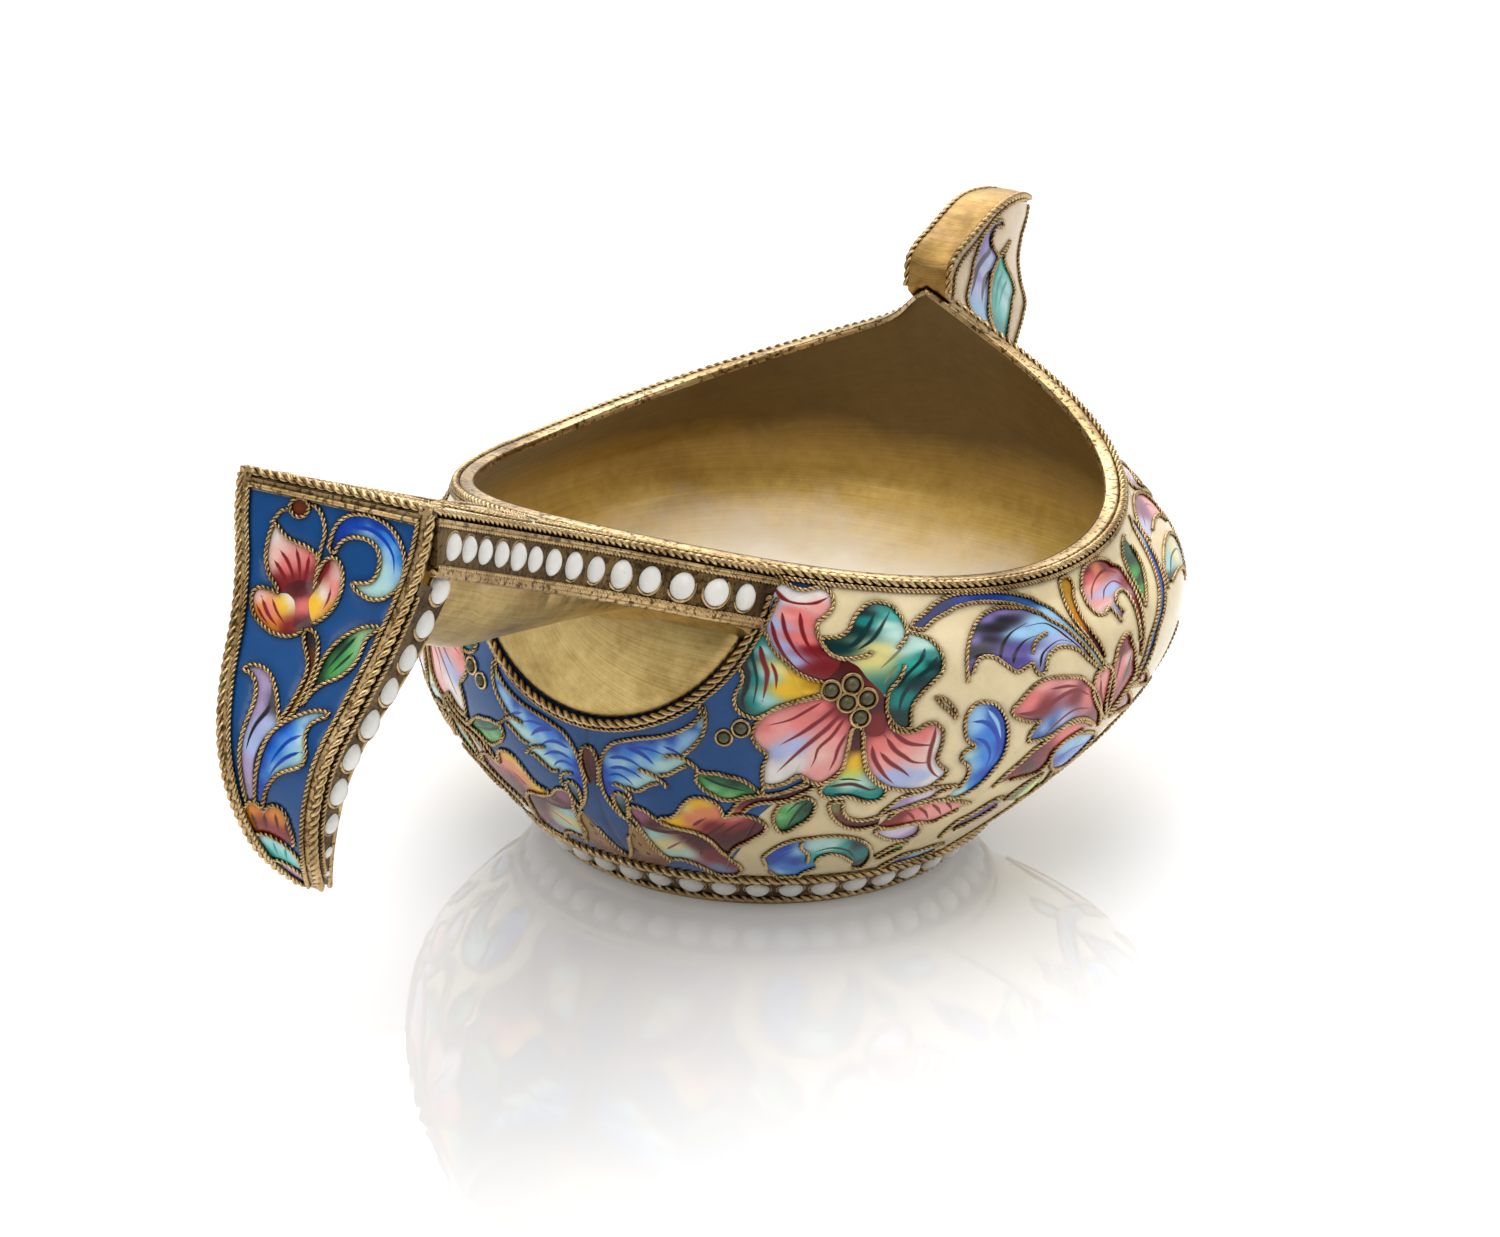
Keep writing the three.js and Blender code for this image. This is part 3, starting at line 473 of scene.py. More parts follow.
def twistTree(look):
    tree, given = newTree("twistedWire", {"Width": look["wide"], "Lay": look["lay"], "Step": look["step"]})
    line = addNode(tree, "GeometryNodeMeshToCurve", {0: given["Geometry"]})
    fine = addNode(tree, "GeometryNodeResampleCurve", {"Curve": line, "Length": given["Step"]}, mode="LENGTH")
    run = addNode(tree, "GeometryNodeSplineParameter").outputs["Length"]
    turn = addNode(tree, "ShaderNodeMath", {0: run, 1: given["Lay"]}, operation="DIVIDE")
    angle = addNode(tree, "ShaderNodeMath", {0: turn, 1: 2 * math.pi}, operation="MULTIPLY")
    normal = addNode(tree, "GeometryNodeInputNormal")
    tangent = addNode(tree, "GeometryNodeInputTangent")
    across = addNode(tree, "ShaderNodeVectorMath", {0: tangent, 1: normal}, operation="CROSS_PRODUCT")
    # how far a strand stands off the line, and its radius
    reach, thick = (
        addNode(tree, "ShaderNodeMath", {0: given["Width"], 1: share}, operation="MULTIPLY")
        for share in (0.25, 0.29)
    )
    values = {"Resolution": look["sides"], "Radius": thick}
    profile = addNode(tree, "GeometryNodeCurvePrimitiveCircle", values)
    strands = addNode(tree, "GeometryNodeJoinGeometry")
    for phase in (0, math.pi):
        turned = addNode(tree, "ShaderNodeMath", {0: angle, 1: phase}, operation="ADD")
        swings = []
        for way, wave in ((normal, "COSINE"), (across, "SINE")):
            share = addNode(tree, "ShaderNodeMath", {0: turned}, operation=wave)
            swings.append(addNode(tree, "ShaderNodeVectorMath", {0: way, "Scale": share}, operation="SCALE"))
        both = addNode(tree, "ShaderNodeVectorMath", {0: swings[0], 1: swings[1]}, operation="ADD")
        offset = addNode(tree, "ShaderNodeVectorMath", {0: both, "Scale": reach}, operation="SCALE")
        moved = addNode(tree, "GeometryNodeSetPosition", {"Geometry": fine, "Offset": offset})
        values = {"Curve": moved, "Profile Curve": profile, "Fill Caps": True}
        fillInputs(tree, strands, {0: addNode(tree, "GeometryNodeCurveToMesh", values)})
    return endTree(tree, strands, twistedGilt)


def twisted(name, paths, lookName, node=None, closed=False, wide=None):
    # every path becomes a chain of edges for the tree to wind along
    points, edges = [], []
    for path in paths:
        start = len(points)
        points.extend(tuple(p) for p in np.asarray(path) * mm)
        edges.extend((k, k + 1) for k in range(start, len(points) - 1))
        if closed:
            edges.append((len(points) - 1, start))
    mesh = bpy.data.meshes.new(name)
    mesh.from_pydata(points, edges, [])
    values = {"Width": wide * mm} if wide else {}
    settle(applyTree(name, mesh, twistTree(wireLooks[lookName]), values), node)


def plainWire(name, path, radius, node=None):
    # a smooth drawn wire
    sides = 8
    along = unit(np.vstack([path[1:], path[-1:]]) - np.vstack([path[:1], path[:-1]]))
    side = unit(np.cross(np.where(np.abs(along[:, 2:3]) > 0.8, [[0, 1, 0]], [[0, 0, 1]]), along))
    over = np.cross(along, side)
    angles = 2 * np.pi * (np.arange(sides) + 0.5) / sides
    turned = side[:, None] * np.cos(angles)[:, None] + over[:, None] * np.sin(angles)[:, None]
    points, faces = loft(path[:, None] + radius * turned, closed=False)
    uv = np.stack(np.broadcast_arrays(runOf(path)[:, None], radius * angles[None]), -1).reshape(-1, 2)
    settle(meshPiece(name, points, faces, rubbedGilt, uv, 80), node)


# white beads in gilt settings

beadLook = {"wide": 2.0, "height": 0.62, "settingWire": 0.24, "settingGap": 0.1, "grow": 0.05, "seed": 7}


def beadTree(look, material, setting):
    tree, given = newTree("beadRow", {"Width": look["wide"], "Height": look["height"]})
    radius = addNode(tree, "ShaderNodeMath", {0: given["Width"], 1: 0.5}, operation="MULTIPLY")
    if setting:
        around = addNode(tree, "ShaderNodeMath", {0: radius, 1: look["settingGap"] * mm}, operation="ADD")
        rings = []
        for sides, size in ((24, around), (6, look["settingWire"] / 2 * mm)):
            values = {"Resolution": sides, "Radius": size}
            rings.append(addNode(tree, "GeometryNodeCurvePrimitiveCircle", values))
        shape = addNode(tree, "GeometryNodeCurveToMesh", {"Curve": rings[0], "Profile Curve": rings[1]})
    else:
        ball = addNode(tree, "GeometryNodeMeshUVSphere", {"Segments": 20, "Rings": 10, "Radius": 1.0})
        grown = addNode(tree, "ShaderNodeCombineXYZ", {0: radius, 1: radius, 2: given["Height"]})
        shape = addNode(tree, "GeometryNodeTransform", {"Geometry": ball, "Scale": grown})
    facing = addNode(tree, "GeometryNodeInputNamedAttribute", {"Name": "facing"}, data_type="FLOAT_VECTOR")
    size = addNode(tree, "GeometryNodeInputNamedAttribute", {"Name": "size"}, data_type="FLOAT")
    turn = addNode(tree, "FunctionNodeAlignRotationToVector", {"Vector": facing}, axis="Z")
    values = {2: 1 - look["grow"], 3: 1 + look["grow"], "Seed": look["seed"]}
    spread = addNode(tree, "FunctionNodeRandomValue", values, data_type="FLOAT").outputs[1]
    scale = addNode(tree, "ShaderNodeMath", {0: size, 1: spread}, operation="MULTIPLY")
    values = {"Points": given["Geometry"], "Instance": shape, "Rotation": turn, "Scale": scale}
    return endTree(tree, addNode(tree, "GeometryNodeInstanceOnPoints", values), material)


def beadRow(name, points, facing, sizes, node, glass=whiteBeadEnamel, look=beadLook, slotName="bead_enamel"):
    # one bead and one setting at each point
    for part, material, partSlot in (("beads", glass, slotName), ("settings", twistedGilt, "gilt_wire")):
        mesh = bpy.data.meshes.new(f"{name}_{part}")
        mesh.from_pydata([tuple(p) for p in np.asarray(points) * mm], [], [])
        for word, kind, field, values in (
            ("facing", "FLOAT_VECTOR", "vector", facing),
            ("size", "FLOAT", "value", sizes),
        ):
            layer = mesh.attributes.new(word, kind, "POINT")
            layer.data.foreach_set(field, np.asarray(values, np.float32).ravel())
        setting = part == "settings"
        piece = applyTree(f"{name}_{part}", mesh, beadTree(look, material, setting))
        settle(piece, None if setting else node)


# foot

footLook = {"plateThick": 0.8, "ringMarks": 9, "markDepth": 0.03, "sheet": 0.6}


def makeFoot():
    turns = np.arange(172) / 172
    half, sheet = foot["bandWidth"] / 2, footLook["sheet"]
    corners = [(-half, 0), (half, 0), (half, sheet), (-half, sheet)]
    rows = [footPoint(turns, along, inward) for along, inward in corners]
    # the band behind the beads is darkened as painted shade
    turnedSkin("foot_band", rows, paintedShadeGilt, (turns * 110, [0, 2.8, 3.4, 6.2]), None)
    beadTurns = np.arange(foot["beadCount"]) / foot["beadCount"]
    facing = unit(footPoint(beadTurns, 0) - footPoint(beadTurns, 0, 1))
    beadRow("foot", footPoint(beadTurns, 0, 0.12), facing, np.full(len(beadTurns), 1.0), "foot_bead_band")
    for side, word in ((-1, "lower"), (1, "upper")):
        path = footPoint(np.arange(144) / 144, side * (half + 0.1 + ropeWide / 2))
        twisted(f"foot_rope_{word}_wound", [path], "rope", f"foot_rope_{word}", closed=True)
    # turned plate with shallow concentric marks, and its top a hair under the bowl's floor
    low = footPoint(0, -(half + 2 * seam + ropeWide))[0]
    radii = np.linspace(0.0, 1.0, footLook["ringMarks"] * 4 + 1) * low
    dips = footLook["markDepth"] * (np.arange(len(radii)) % 4 == 2)
    thick = footLook["plateThick"]
    angles = 2 * np.pi * np.arange(96) / 96
    rings = [*zip(radii, dips), (low, thick), (0.0, thick)]
    rows = [np.stack([r * np.cos(angles), r * np.sin(angles), z + 0 * angles], -1) for r, z in rings]
    marks = (angles * 17, np.arange(len(rings)) * 0.5)
    turnedSkin("foot_plate", rows, brushedGilt, marks, "foot_base", ring=False)


makeFoot()
print("foot made")


# bowl: a raised silver-gilt body with a rubbed rim

bowlLook = {
    "turns": 240,
    # skin and lining, in mm out from the enamel's face, and the rise where the lining leaves the wall
    "skin": -0.62,
    "lining": -1.9,
    "liningTop": 0.72,
    "floorHeight": 2.2,
    "underHeight": 1.1,
    "blendShares": (0.12, 0.25, 0.4, 0.55, 0.7, 0.85, 0.95),
    "floorShares": (1.0, 0.94, 0.86, 0.76, 0.6, 0.4, 0.2),
}


def makeBowl():
    look = bowlLook
    turns = np.arange(look["turns"]) / look["turns"]
    mouth = rimPoint(turns)
    outside = [wallAt(turns, rise, look["skin"]) for rise in np.linspace(0, 1, 30)]
    lining = [wallAt(turns, rise, look["lining"]) for rise in np.linspace(0, look["liningTop"], 24)]
    # the inside runs on smoothly from the wall to the edge of the mouth
    last = lining[-1]
    reach = 0.35 * np.linalg.norm(mouth - last, axis=-1, keepdims=True)
    leave, meet = last + unit(last - lining[-2]) * reach, mouth - unit(mouth - last) * reach
    blend = [bezier(last, leave, meet, mouth, share) for share in look["blendShares"]]
    # the floor lifts softly where it meets the wall
    edge = lining[0]
    swell = [max(0, share - 0.72) ** 2 * 6.2 for share in look["floorShares"]]
    lift = edge[:, 2].mean() - look["floorHeight"] - swell[0]
    floor = [
        edge * [share, share, 0] + [0, 0, look["floorHeight"] + rise + lift * share**6]
        for share, rise in zip(look["floorShares"], swell)
    ]
    outLow = footPoint(turns, -1.2, -look["skin"])
    outFloor = outLow * [1, 1, 0] + [0, 0, look["underHeight"]]
    rows = [outFloor * [0, 0, 1], outFloor * [0.5, 0.5, 1], outFloor, outLow, *outside]
    top = rimPoint(turns, wallOut + look["skin"], wallDrop)
    rows += [top, mouth + (top - mouth) * 0.5 + [0, 0, 0.2], mouth, *reversed(blend), *reversed(lining)]
    rows += [*floor, edge * 0 + [0, 0, look["floorHeight"]]]
    steps = np.linalg.norm(np.diff(np.stack(rows, 1), axis=1), axis=-1).mean(0)
    marks = (turns * 170, np.cumsum(np.r_[0, steps]))
    turnedSkin("bowl_body", rows, bowlGilt, marks, "bowl_shell", ring=False, sharpAbove=55)


def makeRim():
    turns = np.arange(360) / 360
    wide = rim["bandWidth"]
    profile = [(-0.02, 0.5), (-0.02, 0.12), (0.05, 0.02), (0.16, -0.03)]
    profile += [(wide - 0.16, -0.03), (wide - 0.05, 0.03), (wide, 0.14), (wide + 0.1, 0.62)]
    rows = [rimPoint(turns, out, drop) for out, drop in profile]
    marks = (turns * 170, np.arange(len(profile)) * 0.3)
    turnedSkin("rim_band_rubbed", rows, rubbedGilt, marks, "rim_band")
    fine = np.arange(300) / 300
    upper, lower = rimPoint(fine, wide + 0.3, 0.24), rimPoint(fine, wide + 0.58, 0.68)
    twisted("rim_rope_upper_wound", [upper], "rope", "rim_rope_upper", closed=True)
    twisted("rim_rope_lower_wound", [lower], "cloison", "rim_rope_lower", closed=True, wide=0.42)


makeBowl()
makeRim()
print("bowl and rim made")


# the bowl's outer skin as one closed body: tells how deep a point lies inside it


def bowlBody():
    turns = np.arange(160) / 160
    middle = rimPoint(turns) * 0
    rows = [middle, footPoint(turns, 1.4), *[wallPoint(turns, rise) for rise in np.linspace(0, 1, 24)]]
    rows += [rimPoint(turns, 2.0, 0.9), rimPoint(turns, 1.3, 0.1), middle + [0, 0, 60]]
    points, faces = loft(np.stack(rows, 1), ring=False)
    return BVHTree.FromPolygons([Vector(p) for p in points], faces)


bowlTree = bowlBody()


def depthIn(points):
    depths = []
    for point in np.asarray(points, float).reshape(-1, 3):
        place, normal, _, _ = bowlTree.find_nearest(Vector(point))
        depths.append((place - Vector(point)).dot(normal))
    return np.array(depths)


def shortOfBowl(points, way, into=0.45):
    # what would run on inside the bowl stops just under its skin
    moved = np.array(points, float)
    flat = moved.reshape(-1, 3)
    for _ in range(5):
        flat[:, 0] += way * np.maximum(0, depthIn(flat) - into)
    return moved


def outsideBowl(path, into):
    return path[depthIn(path) < into]


def curvePlate(name, outer, inner, material, node=None, sharpAbove=40):
    # two grids of points, skin and lining, closed round their edge; the brush marks follow both ways
    outer, inner = np.asarray(outer, float), np.asarray(inner, float)
    high, wide = outer.shape[:2]
    half, faces = high * wide, []
    for i in range(high - 1):
        for j in range(wide - 1):
            a, b, c, d = i * wide + j, i * wide + j + 1, (i + 1) * wide + j + 1, (i + 1) * wide + j
            faces += [(a, d, c, b), (a + half, b + half, c + half, d + half)]
    number = np.arange(half).reshape(high, wide)
    border = [*number[0, :-1], *number[:-1, -1], *number[-1, :0:-1], *number[:0:-1, 0]]
    faces += [(a, b, b + half, a + half) for a, b in zip(border, border[1:] + border[:1])]
    runs = []
    for way in (0, 1):
        steps = np.linalg.norm(np.diff(outer, axis=way), axis=-1)
        runs.append(np.cumsum(np.insert(steps, 0, 0, axis=way), way))
    marks = np.tile(np.stack(runs, -1).reshape(-1, 2), (2, 1))
    points = np.vstack([outer.reshape(-1, 3), inner.reshape(-1, 3)])
    settle(meshPiece(name, points, faces, material, marks, sharpAbove), node)


# handle: a flat top, a strip of beads on each side and a hollow underside

handle = {
    "length": 35.0, "lift": 0.45, "endHeight": 46.2, "endWidth": 15.8,
    "stripHeight": 4.1, "beadPitch": 2.44, "beadCount": 16,
    # share of the length from the bowl, share of the half width at the end
    "edge": [
        (-0.22, 1.68), (-0.11, 1.6), (-0.03, 1.53), (0.05, 1.43), (0.11, 1.28),
        (0.19, 1.1), (0.32, 0.93), (0.5, 0.86), (0.74, 0.91), (1, 1),
    ],
}
trough = {"topDrop": 4.75, "depth": 5.8, "width": 12.4, "sheet": 0.8, "rows": 90, "sides": 40, "fillet": 1.6}
edgeInset = 0.92
handleRoot = rim["shift"] - rim["length"] / 2 - wallOut
handleEnd = handleRoot - handle["length"]
handleRootHeight = rim["height"] + rimRise["handle"] + handle["lift"]


def handleTop(x):
    return handleRootHeight + (handle["endHeight"] - handleRootHeight) / handle["length"] * (handleRoot - x)


def handleEdge(share):
    stations = []
    for far, wide in handle["edge"]:
        x = handleRoot - handle["length"] * far
        stations.append((x, handle["endWidth"] / 2 * wide, handleTop(x)))
    return pathThrough(stations, share)


def edgePoint(share, inward, drop, side):
    share = np.asarray(share, float)
    point, along = handleEdge(share), headingOf(handleEdge, share)
    plan = np.hypot(along[..., 0], along[..., 1])
    x = point[..., 0] - inward * along[..., 1] / plan
    y = point[..., 1] + inward * along[..., 0] / plan
    return np.stack([x, side * y, handleTop(x) - drop], -1)


def shareAtX(x):
    shares = np.linspace(0, 1, 2000)
    return np.interp(-x, -handleEdge(shares)[:, 0], shares)


def evenShares(curve, step, start, end):
    # shares that stand a fixed distance apart along a curve
    fine = np.linspace(start, end, 1500)
    run = runOf(curve(fine))
    return np.interp(np.arange(0, run[-1], step), run, fine)


def makeHandleSide(side, word):
    end = shareAtX(handleEnd + edgeInset * 0.5)
    shares = np.linspace(0, end, 110)
    high = handle["stripHeight"]
    # the strip behind the beads, darkened as painted shade, and flat gilt borders above and below them
    plates = [("strip", np.linspace(0.7, high + 0.5, 6), 0.0, 0.8, paintedShadeGilt)]
    plates += [("border_upper", (0.7, 1.22), -0.1, 0.4, rubbedGilt)]
    plates += [("border_lower", (4.0, 4.55), -0.1, 0.4, rubbedGilt)]
    for part, drops, front, back, metal in plates:
        skins = [[edgePoint(shares, inward, drop, side) for drop in drops] for inward in (front, back)]
        curvePlate(f"handle_{part}_{word}", *[shortOfBowl(skin, -1) for skin in skins], metal)
    # beads from the terminal towards the bowl, where they stand wider apart
    middle = edgeInset + (high - edgeInset) / 2 + 0.05
    back = evenShares(lambda share: edgePoint(1 - share, 0, middle, side), 0.1, 1 - end, 0.95)
    count = handle["beadCount"]
    steps = np.cumsum(handle["beadPitch"] * (1 + 0.022 * np.arange(count)))
    beadShares = 1 - np.interp(steps, np.arange(len(back)) * 0.1, back)
    places = edgePoint(beadShares, 0.12, middle, side)
    facing = unit(edgePoint(beadShares, 0, middle, side) - edgePoint(beadShares, 1, middle, side))
    clear = depthIn(places) < -0.5
    sizes = np.linspace(0.98, 1.1, count)[clear]
    beadRow(f"handle_{word}", places[clear], facing[clear], sizes, f"handle_bead_strip_{word}")
    wires = [(end, 0.31, 0.31), (end, -0.02, 0.82), (end, -0.02, 1.12), (end, -0.02, high + 0.02)]
    wires += [(1, 0.12, high + 0.55)]
    rope, upper, thin, low, lower = (
        outsideBowl(edgePoint(np.linspace(0, last, 200), inward, drop, side), 0.1)
        for last, inward, drop in wires
    )
    twisted(f"handle_edge_rope_{word}_wound", [rope], "rope", f"handle_edge_rope_{word}")
    twisted(f"handle_strip_wires_{word}", [thin, low], "cloison", wide=0.34)
    plainWire(f"handle_upper_wire_{word}", upper, 0.16)
    plainWire(f"handle_lower_wire_{word}_drawn", lower, 0.27, f"handle_lower_wire_{word}")


def troughSkin(shrink):
    across = np.linspace(-1, 1, trough["sides"] + 1)
    rows = []
    for share in np.linspace(0, 0.97, trough["rows"]):
        edge = edgePoint(share, 0.3, trough["topDrop"], 1)
        reach = np.clip((handleRoot - edge[0]) / handle["length"] / 0.65, 0, 1)
        half = min(trough["width"] / 2 * (0.8 + 0.2 * reach), edge[1] - 0.2) - shrink
        y = across * edge[1]
        # the wings run softly into the round of the trough
        inside = np.clip(1 - np.abs(y / half) ** 2.2, 0, 1) ** 0.5
        depth = trough["depth"] * (0.1 + 0.9 * reach) * inside
        rows.append(np.stack([edge[0] + 0 * y, y, edge[2] - depth + shrink], -1))
    # close to the bowl the skin sweeps down into the panel
    flat = np.array(rows).reshape(-1, 3)
    flat[:, 2] -= trough["fillet"] * np.exp(-np.maximum(-depthIn(flat), 0) / 1.1)
    return shortOfBowl(flat, -1, 0.5).reshape(trough["rows"], -1, 3)


# the half-round gilt panel on the wall under the handle

seatPanel = {"radius": 12.12, "height": 30.45, "thick": 0.32, "rope": 12.5, "rings": 26, "spokes": 90}


def wallSpot(y, z):
    # turn and rise of the wall on the handle side for a given y and z
    turn, rise = np.full(np.shape(y), 0.5), np.full(np.shape(y), 0.9)
    for _ in range(30):
        point = wallPoint(turn, rise)
        turn = turn - (y - point[..., 1]) / 190
        rise = np.clip(rise + (z - point[..., 2]) / 40, 0, 1)
    return turn, rise


def panelSpot(radius, angles):
    return wallSpot(radius * np.cos(angles), seatPanel["height"] + radius * np.sin(angles))


def makeSeatPanel():
    radius, spokes = seatPanel["radius"], seatPanel["spokes"]
    outer, inner = [], []
    for ring in np.linspace(0, 1, seatPanel["rings"]):
        turn, rise = panelSpot(radius * ring, math.pi * (1 + np.arange(spokes + 1) / spokes))
        # a soft roll at the panel's rim
        crown = seatPanel["thick"] * min(1, (1 - ring) / 0.05) ** 0.5
        outer.append(wallAt(turn, rise, 0.05 + crown))
        inner.append(wallAt(turn, rise, -0.55))
    curvePlate("seat_panel_brushed", outer, inner, brushedGilt, "seat_panel")
    # the strip of wall between the flat top of the panel and the rim
    y = np.linspace(-radius, radius, 60)
    turn, rise = wallSpot(y, seatPanel["height"] + 0 * y)
    upper, under = (
        [wallAt(turn, rise + (1 - rise) * up, out) for up in np.linspace(0, 1, 5)] for out in (0.3, -0.5)
    )
    curvePlate("seat_panel_top", upper, under, brushedGilt)
    fan = math.pi * (1 + np.linspace(-0.05, 1.05, 140))
    rope, wire = (
        wallAt(*panelSpot(seatPanel["rope"] + more, fan), out) for more, out in ((0, 0.3), (0.55, 0.12))
    )
    twisted("seat_panel_rope_wound", [rope], "rope", "seat_panel_rope")
    twisted("seat_panel_outer_wires", [wire], "cloison")


for handleSide, handleWord in ((-1, "near"), (1, "far")):
    makeHandleSide(handleSide, handleWord)
curvePlate("handle_trough", troughSkin(0), troughSkin(trough["sheet"]), brushedGilt, "handle_underside", 60)
makeSeatPanel()
print("handle made")


# terminal: the curved plate that hangs from the end of the handle

terminal = {
    "drop": 28.2, "bulge": 7.9, "depth": 6.0, "top": 0.035, "beadPitch": 2.56,
    # share of the drop, of the bulge, of the half width and of the depth
    "stations": [
        (0, 0, 1, 1), (0.11, 0.09, 0.975, 1), (0.21, 0.19, 0.9, 0.99), (0.333, 0.405, 0.8, 0.975),
        (0.457, 0.72, 0.7, 0.93), (0.58, 0.96, 0.58, 0.74), (0.677, 1, 0.505, 0.56), (0.77, 0.95, 0.43, 0.46),
        (0.872, 0.8, 0.34, 0.33), (0.94, 0.62, 0.25, 0.25), (1, 0.4, 0.14, 0.18),
    ],
}


def terminalFace(share, rear=0):
    stations = []
    for drop, bulge, wide, deep in terminal["stations"]:
        x = handleEnd - terminal["bulge"] * bulge + rear * terminal["depth"] * deep
        stations.append((x, handle["endWidth"] / 2 * wide, handle["endHeight"] - terminal["drop"] * drop))
    return pathThrough(stations, share)


def terminalPoint(share, through, behind, inward, side, lateral=None):
    # front (0) to rear (1), moved behind the front face and in from its side
    share = np.asarray(share, float)
    front, rear = terminalFace(share), terminalFace(share, 1)
    along = headingOf(terminalFace, share)
    flat = np.hypot(along[..., 0], along[..., 2])
    point = front + (rear - front) * through
    x = point[..., 0] - behind * along[..., 2] / flat
    z = point[..., 2] + behind * along[..., 0] / flat
    y = side * (point[..., 1] - inward) if lateral is None else lateral
    return np.stack([x, y + 0 * x, z], -1)


def makeTerminalSide(side, word):
    shares = np.linspace(0.17, 1, 120)

    def skin(inward):
        rows = []
        for through in np.linspace(0, 1, 8):
            lean = shares + 0.085 * through * (1 - shares) / 0.83
            front = terminalPoint(lean, 0, edgeInset * 0.6, inward, side)
            rows.append(front + (terminalPoint(lean, 1, 0, inward, side) - front) * through)
        return rows

    # the side behind the beads is darkened as painted shade
    curvePlate(f"terminal_side_{word}", skin(0.0), skin(0.8), paintedShadeGilt)
    # a flat gilt frame on the front, between the enamel and the edge rope
    run = np.linspace(0, 1, 150)
    frameOut, frameIn = (
        [terminalPoint(run, 0, behind, inward, side) for inward in (0.25, edgeInset + 0.25)]
        for behind in (0.06, 1.0)
    )
    curvePlate(f"terminal_frame_{word}", frameOut, frameIn, rubbedGilt)

    def beadLine(share):
        front = terminalPoint(share, 0, edgeInset, 0, side)
        return front + (terminalPoint(share, 1, 0, 0, side) - front) * 0.6

    run = evenShares(beadLine, terminal["beadPitch"], 0.215, 0.955)
    gap = terminalPoint(run, 1, 0, 0, side) - terminalPoint(run, 0, edgeInset, 0, side)
    sizes = np.minimum(1.08, (np.linalg.norm(gap, axis=-1) - 0.25) / beadLook["wide"])
    places = beadLine(run) + [0, -side * 0.12, 0]
    facing = np.tile([0.0, side, 0.0], (len(run), 1))
    beadRow(f"terminal_{word}", places, facing, sizes, f"terminal_bead_side_{word}")
    edge = terminalPoint(np.linspace(terminal["top"] * 0.5, 1, 240), 0, 0.22, 0.28, side)
    border = terminalPoint(np.linspace(terminal["top"], 0.985, 240), 0, -0.04, edgeInset + 0.16, side)
    inner = terminalPoint(np.linspace(0.2, 0.97, 200), 0, edgeInset * 0.9, -0.02, side)
    twisted(f"terminal_edge_rope_{word}_wound", [edge], "rope", f"terminal_edge_rope_{word}")
    twisted(f"terminal_border_wires_{word}", [border, inner], "cloison", wide=0.38)
    plainWire(f"terminal_rear_wire_{word}", terminalPoint(np.linspace(0.3, 1, 200), 1, 0, 0.1, side), 0.22)


def makeTerminalTop():
    half = handle["endWidth"] / 2 - 0.3
    y = np.linspace(-half, half, 60)
    path = np.stack([0 * y + handleEnd + 0.31, y, 0 * y + handle["endHeight"] - 0.31], -1)
    twisted("terminal_top_rope_wound", [path], "rope", "terminal_top_rope")
    plainWire("terminal_top_wire", terminalPoint(np.full(60, terminal["top"]), 0, -0.04, 0, 1, y * 0.9), 0.2)
    # the flat border of the end of the handle
    outer, inner = (
        [terminalPoint(np.full(60, share), 0, behind, 0, 1, y) for share in np.linspace(0.02, 0.045, 4)]
        for behind in (0.1, 0.9)
    )
    curvePlate("terminal_top_frame", outer, inner, rubbedGilt)


for terminalSide, terminalWord in ((-1, "near"), (1, "far")):
    makeTerminalSide(terminalSide, terminalWord)
makeTerminalTop()
print("terminal made")


# prow: a curved horn with a gilt inner face, drawn up from the rim

prow = {
    "width": 3.8, "keelWidth": 1.5, "reach": 18.2, "lift": 30.0, "taper": 0.72, "tip": 0.36, "root": 0.2,
    # shares of the reach and the lift past the root; the inner face and the keel end at the same tip
    "inner": [
        (-0.36, -0.45), (-0.12, -0.18), (0, 0), (0.012, 0.07), (0.09, 0.105), (0.22, 0.13),
        (0.36, 0.158), (0.48, 0.176), (0.6, 0.18), (0.78, 0.165), (0.94, 0.13),
    ],
    "keel": [
        (0.2, -0.86), (0.42, -0.72), (0.68, -0.52), (0.87, -0.34), (0.97, -0.24), (0.985, -0.2),
        (0.92, -0.135), (0.875, -0.06), (0.89, 0), (0.935, 0.055), (0.96, 0.108),
    ],
}
prowRoot = rim["shift"] + rim["length"] / 2 - rimRise["rootPull"]
prowRootHeight = rim["height"] + rimRise["prow"] + rimRise["root"]


def prowCurve(curve, spot):
    stations = [(prowRoot + prow["reach"] * x, 0, prowRootHeight + prow["lift"] * z) for x, z in prow[curve]]
    return pathThrough(stations, spot)


def prowHalf(share):
    over = np.maximum(0, (share - prow["taper"]) / (1 - prow["taper"]))
    return prow["width"] / 2 * (1 - over**2 * (1 - prow["tip"]))


def prowInner(share, behind, y=0.0):
    share = np.asarray(share, float)
    x, _, z = np.moveaxis(prowCurve("inner", share), -1, 0)
    along = unit(headingOf(lambda spot: prowCurve("inner", spot), share))
    return np.stack([x + behind * along[..., 2], y + 0 * x, z - behind * along[..., 0]], -1)


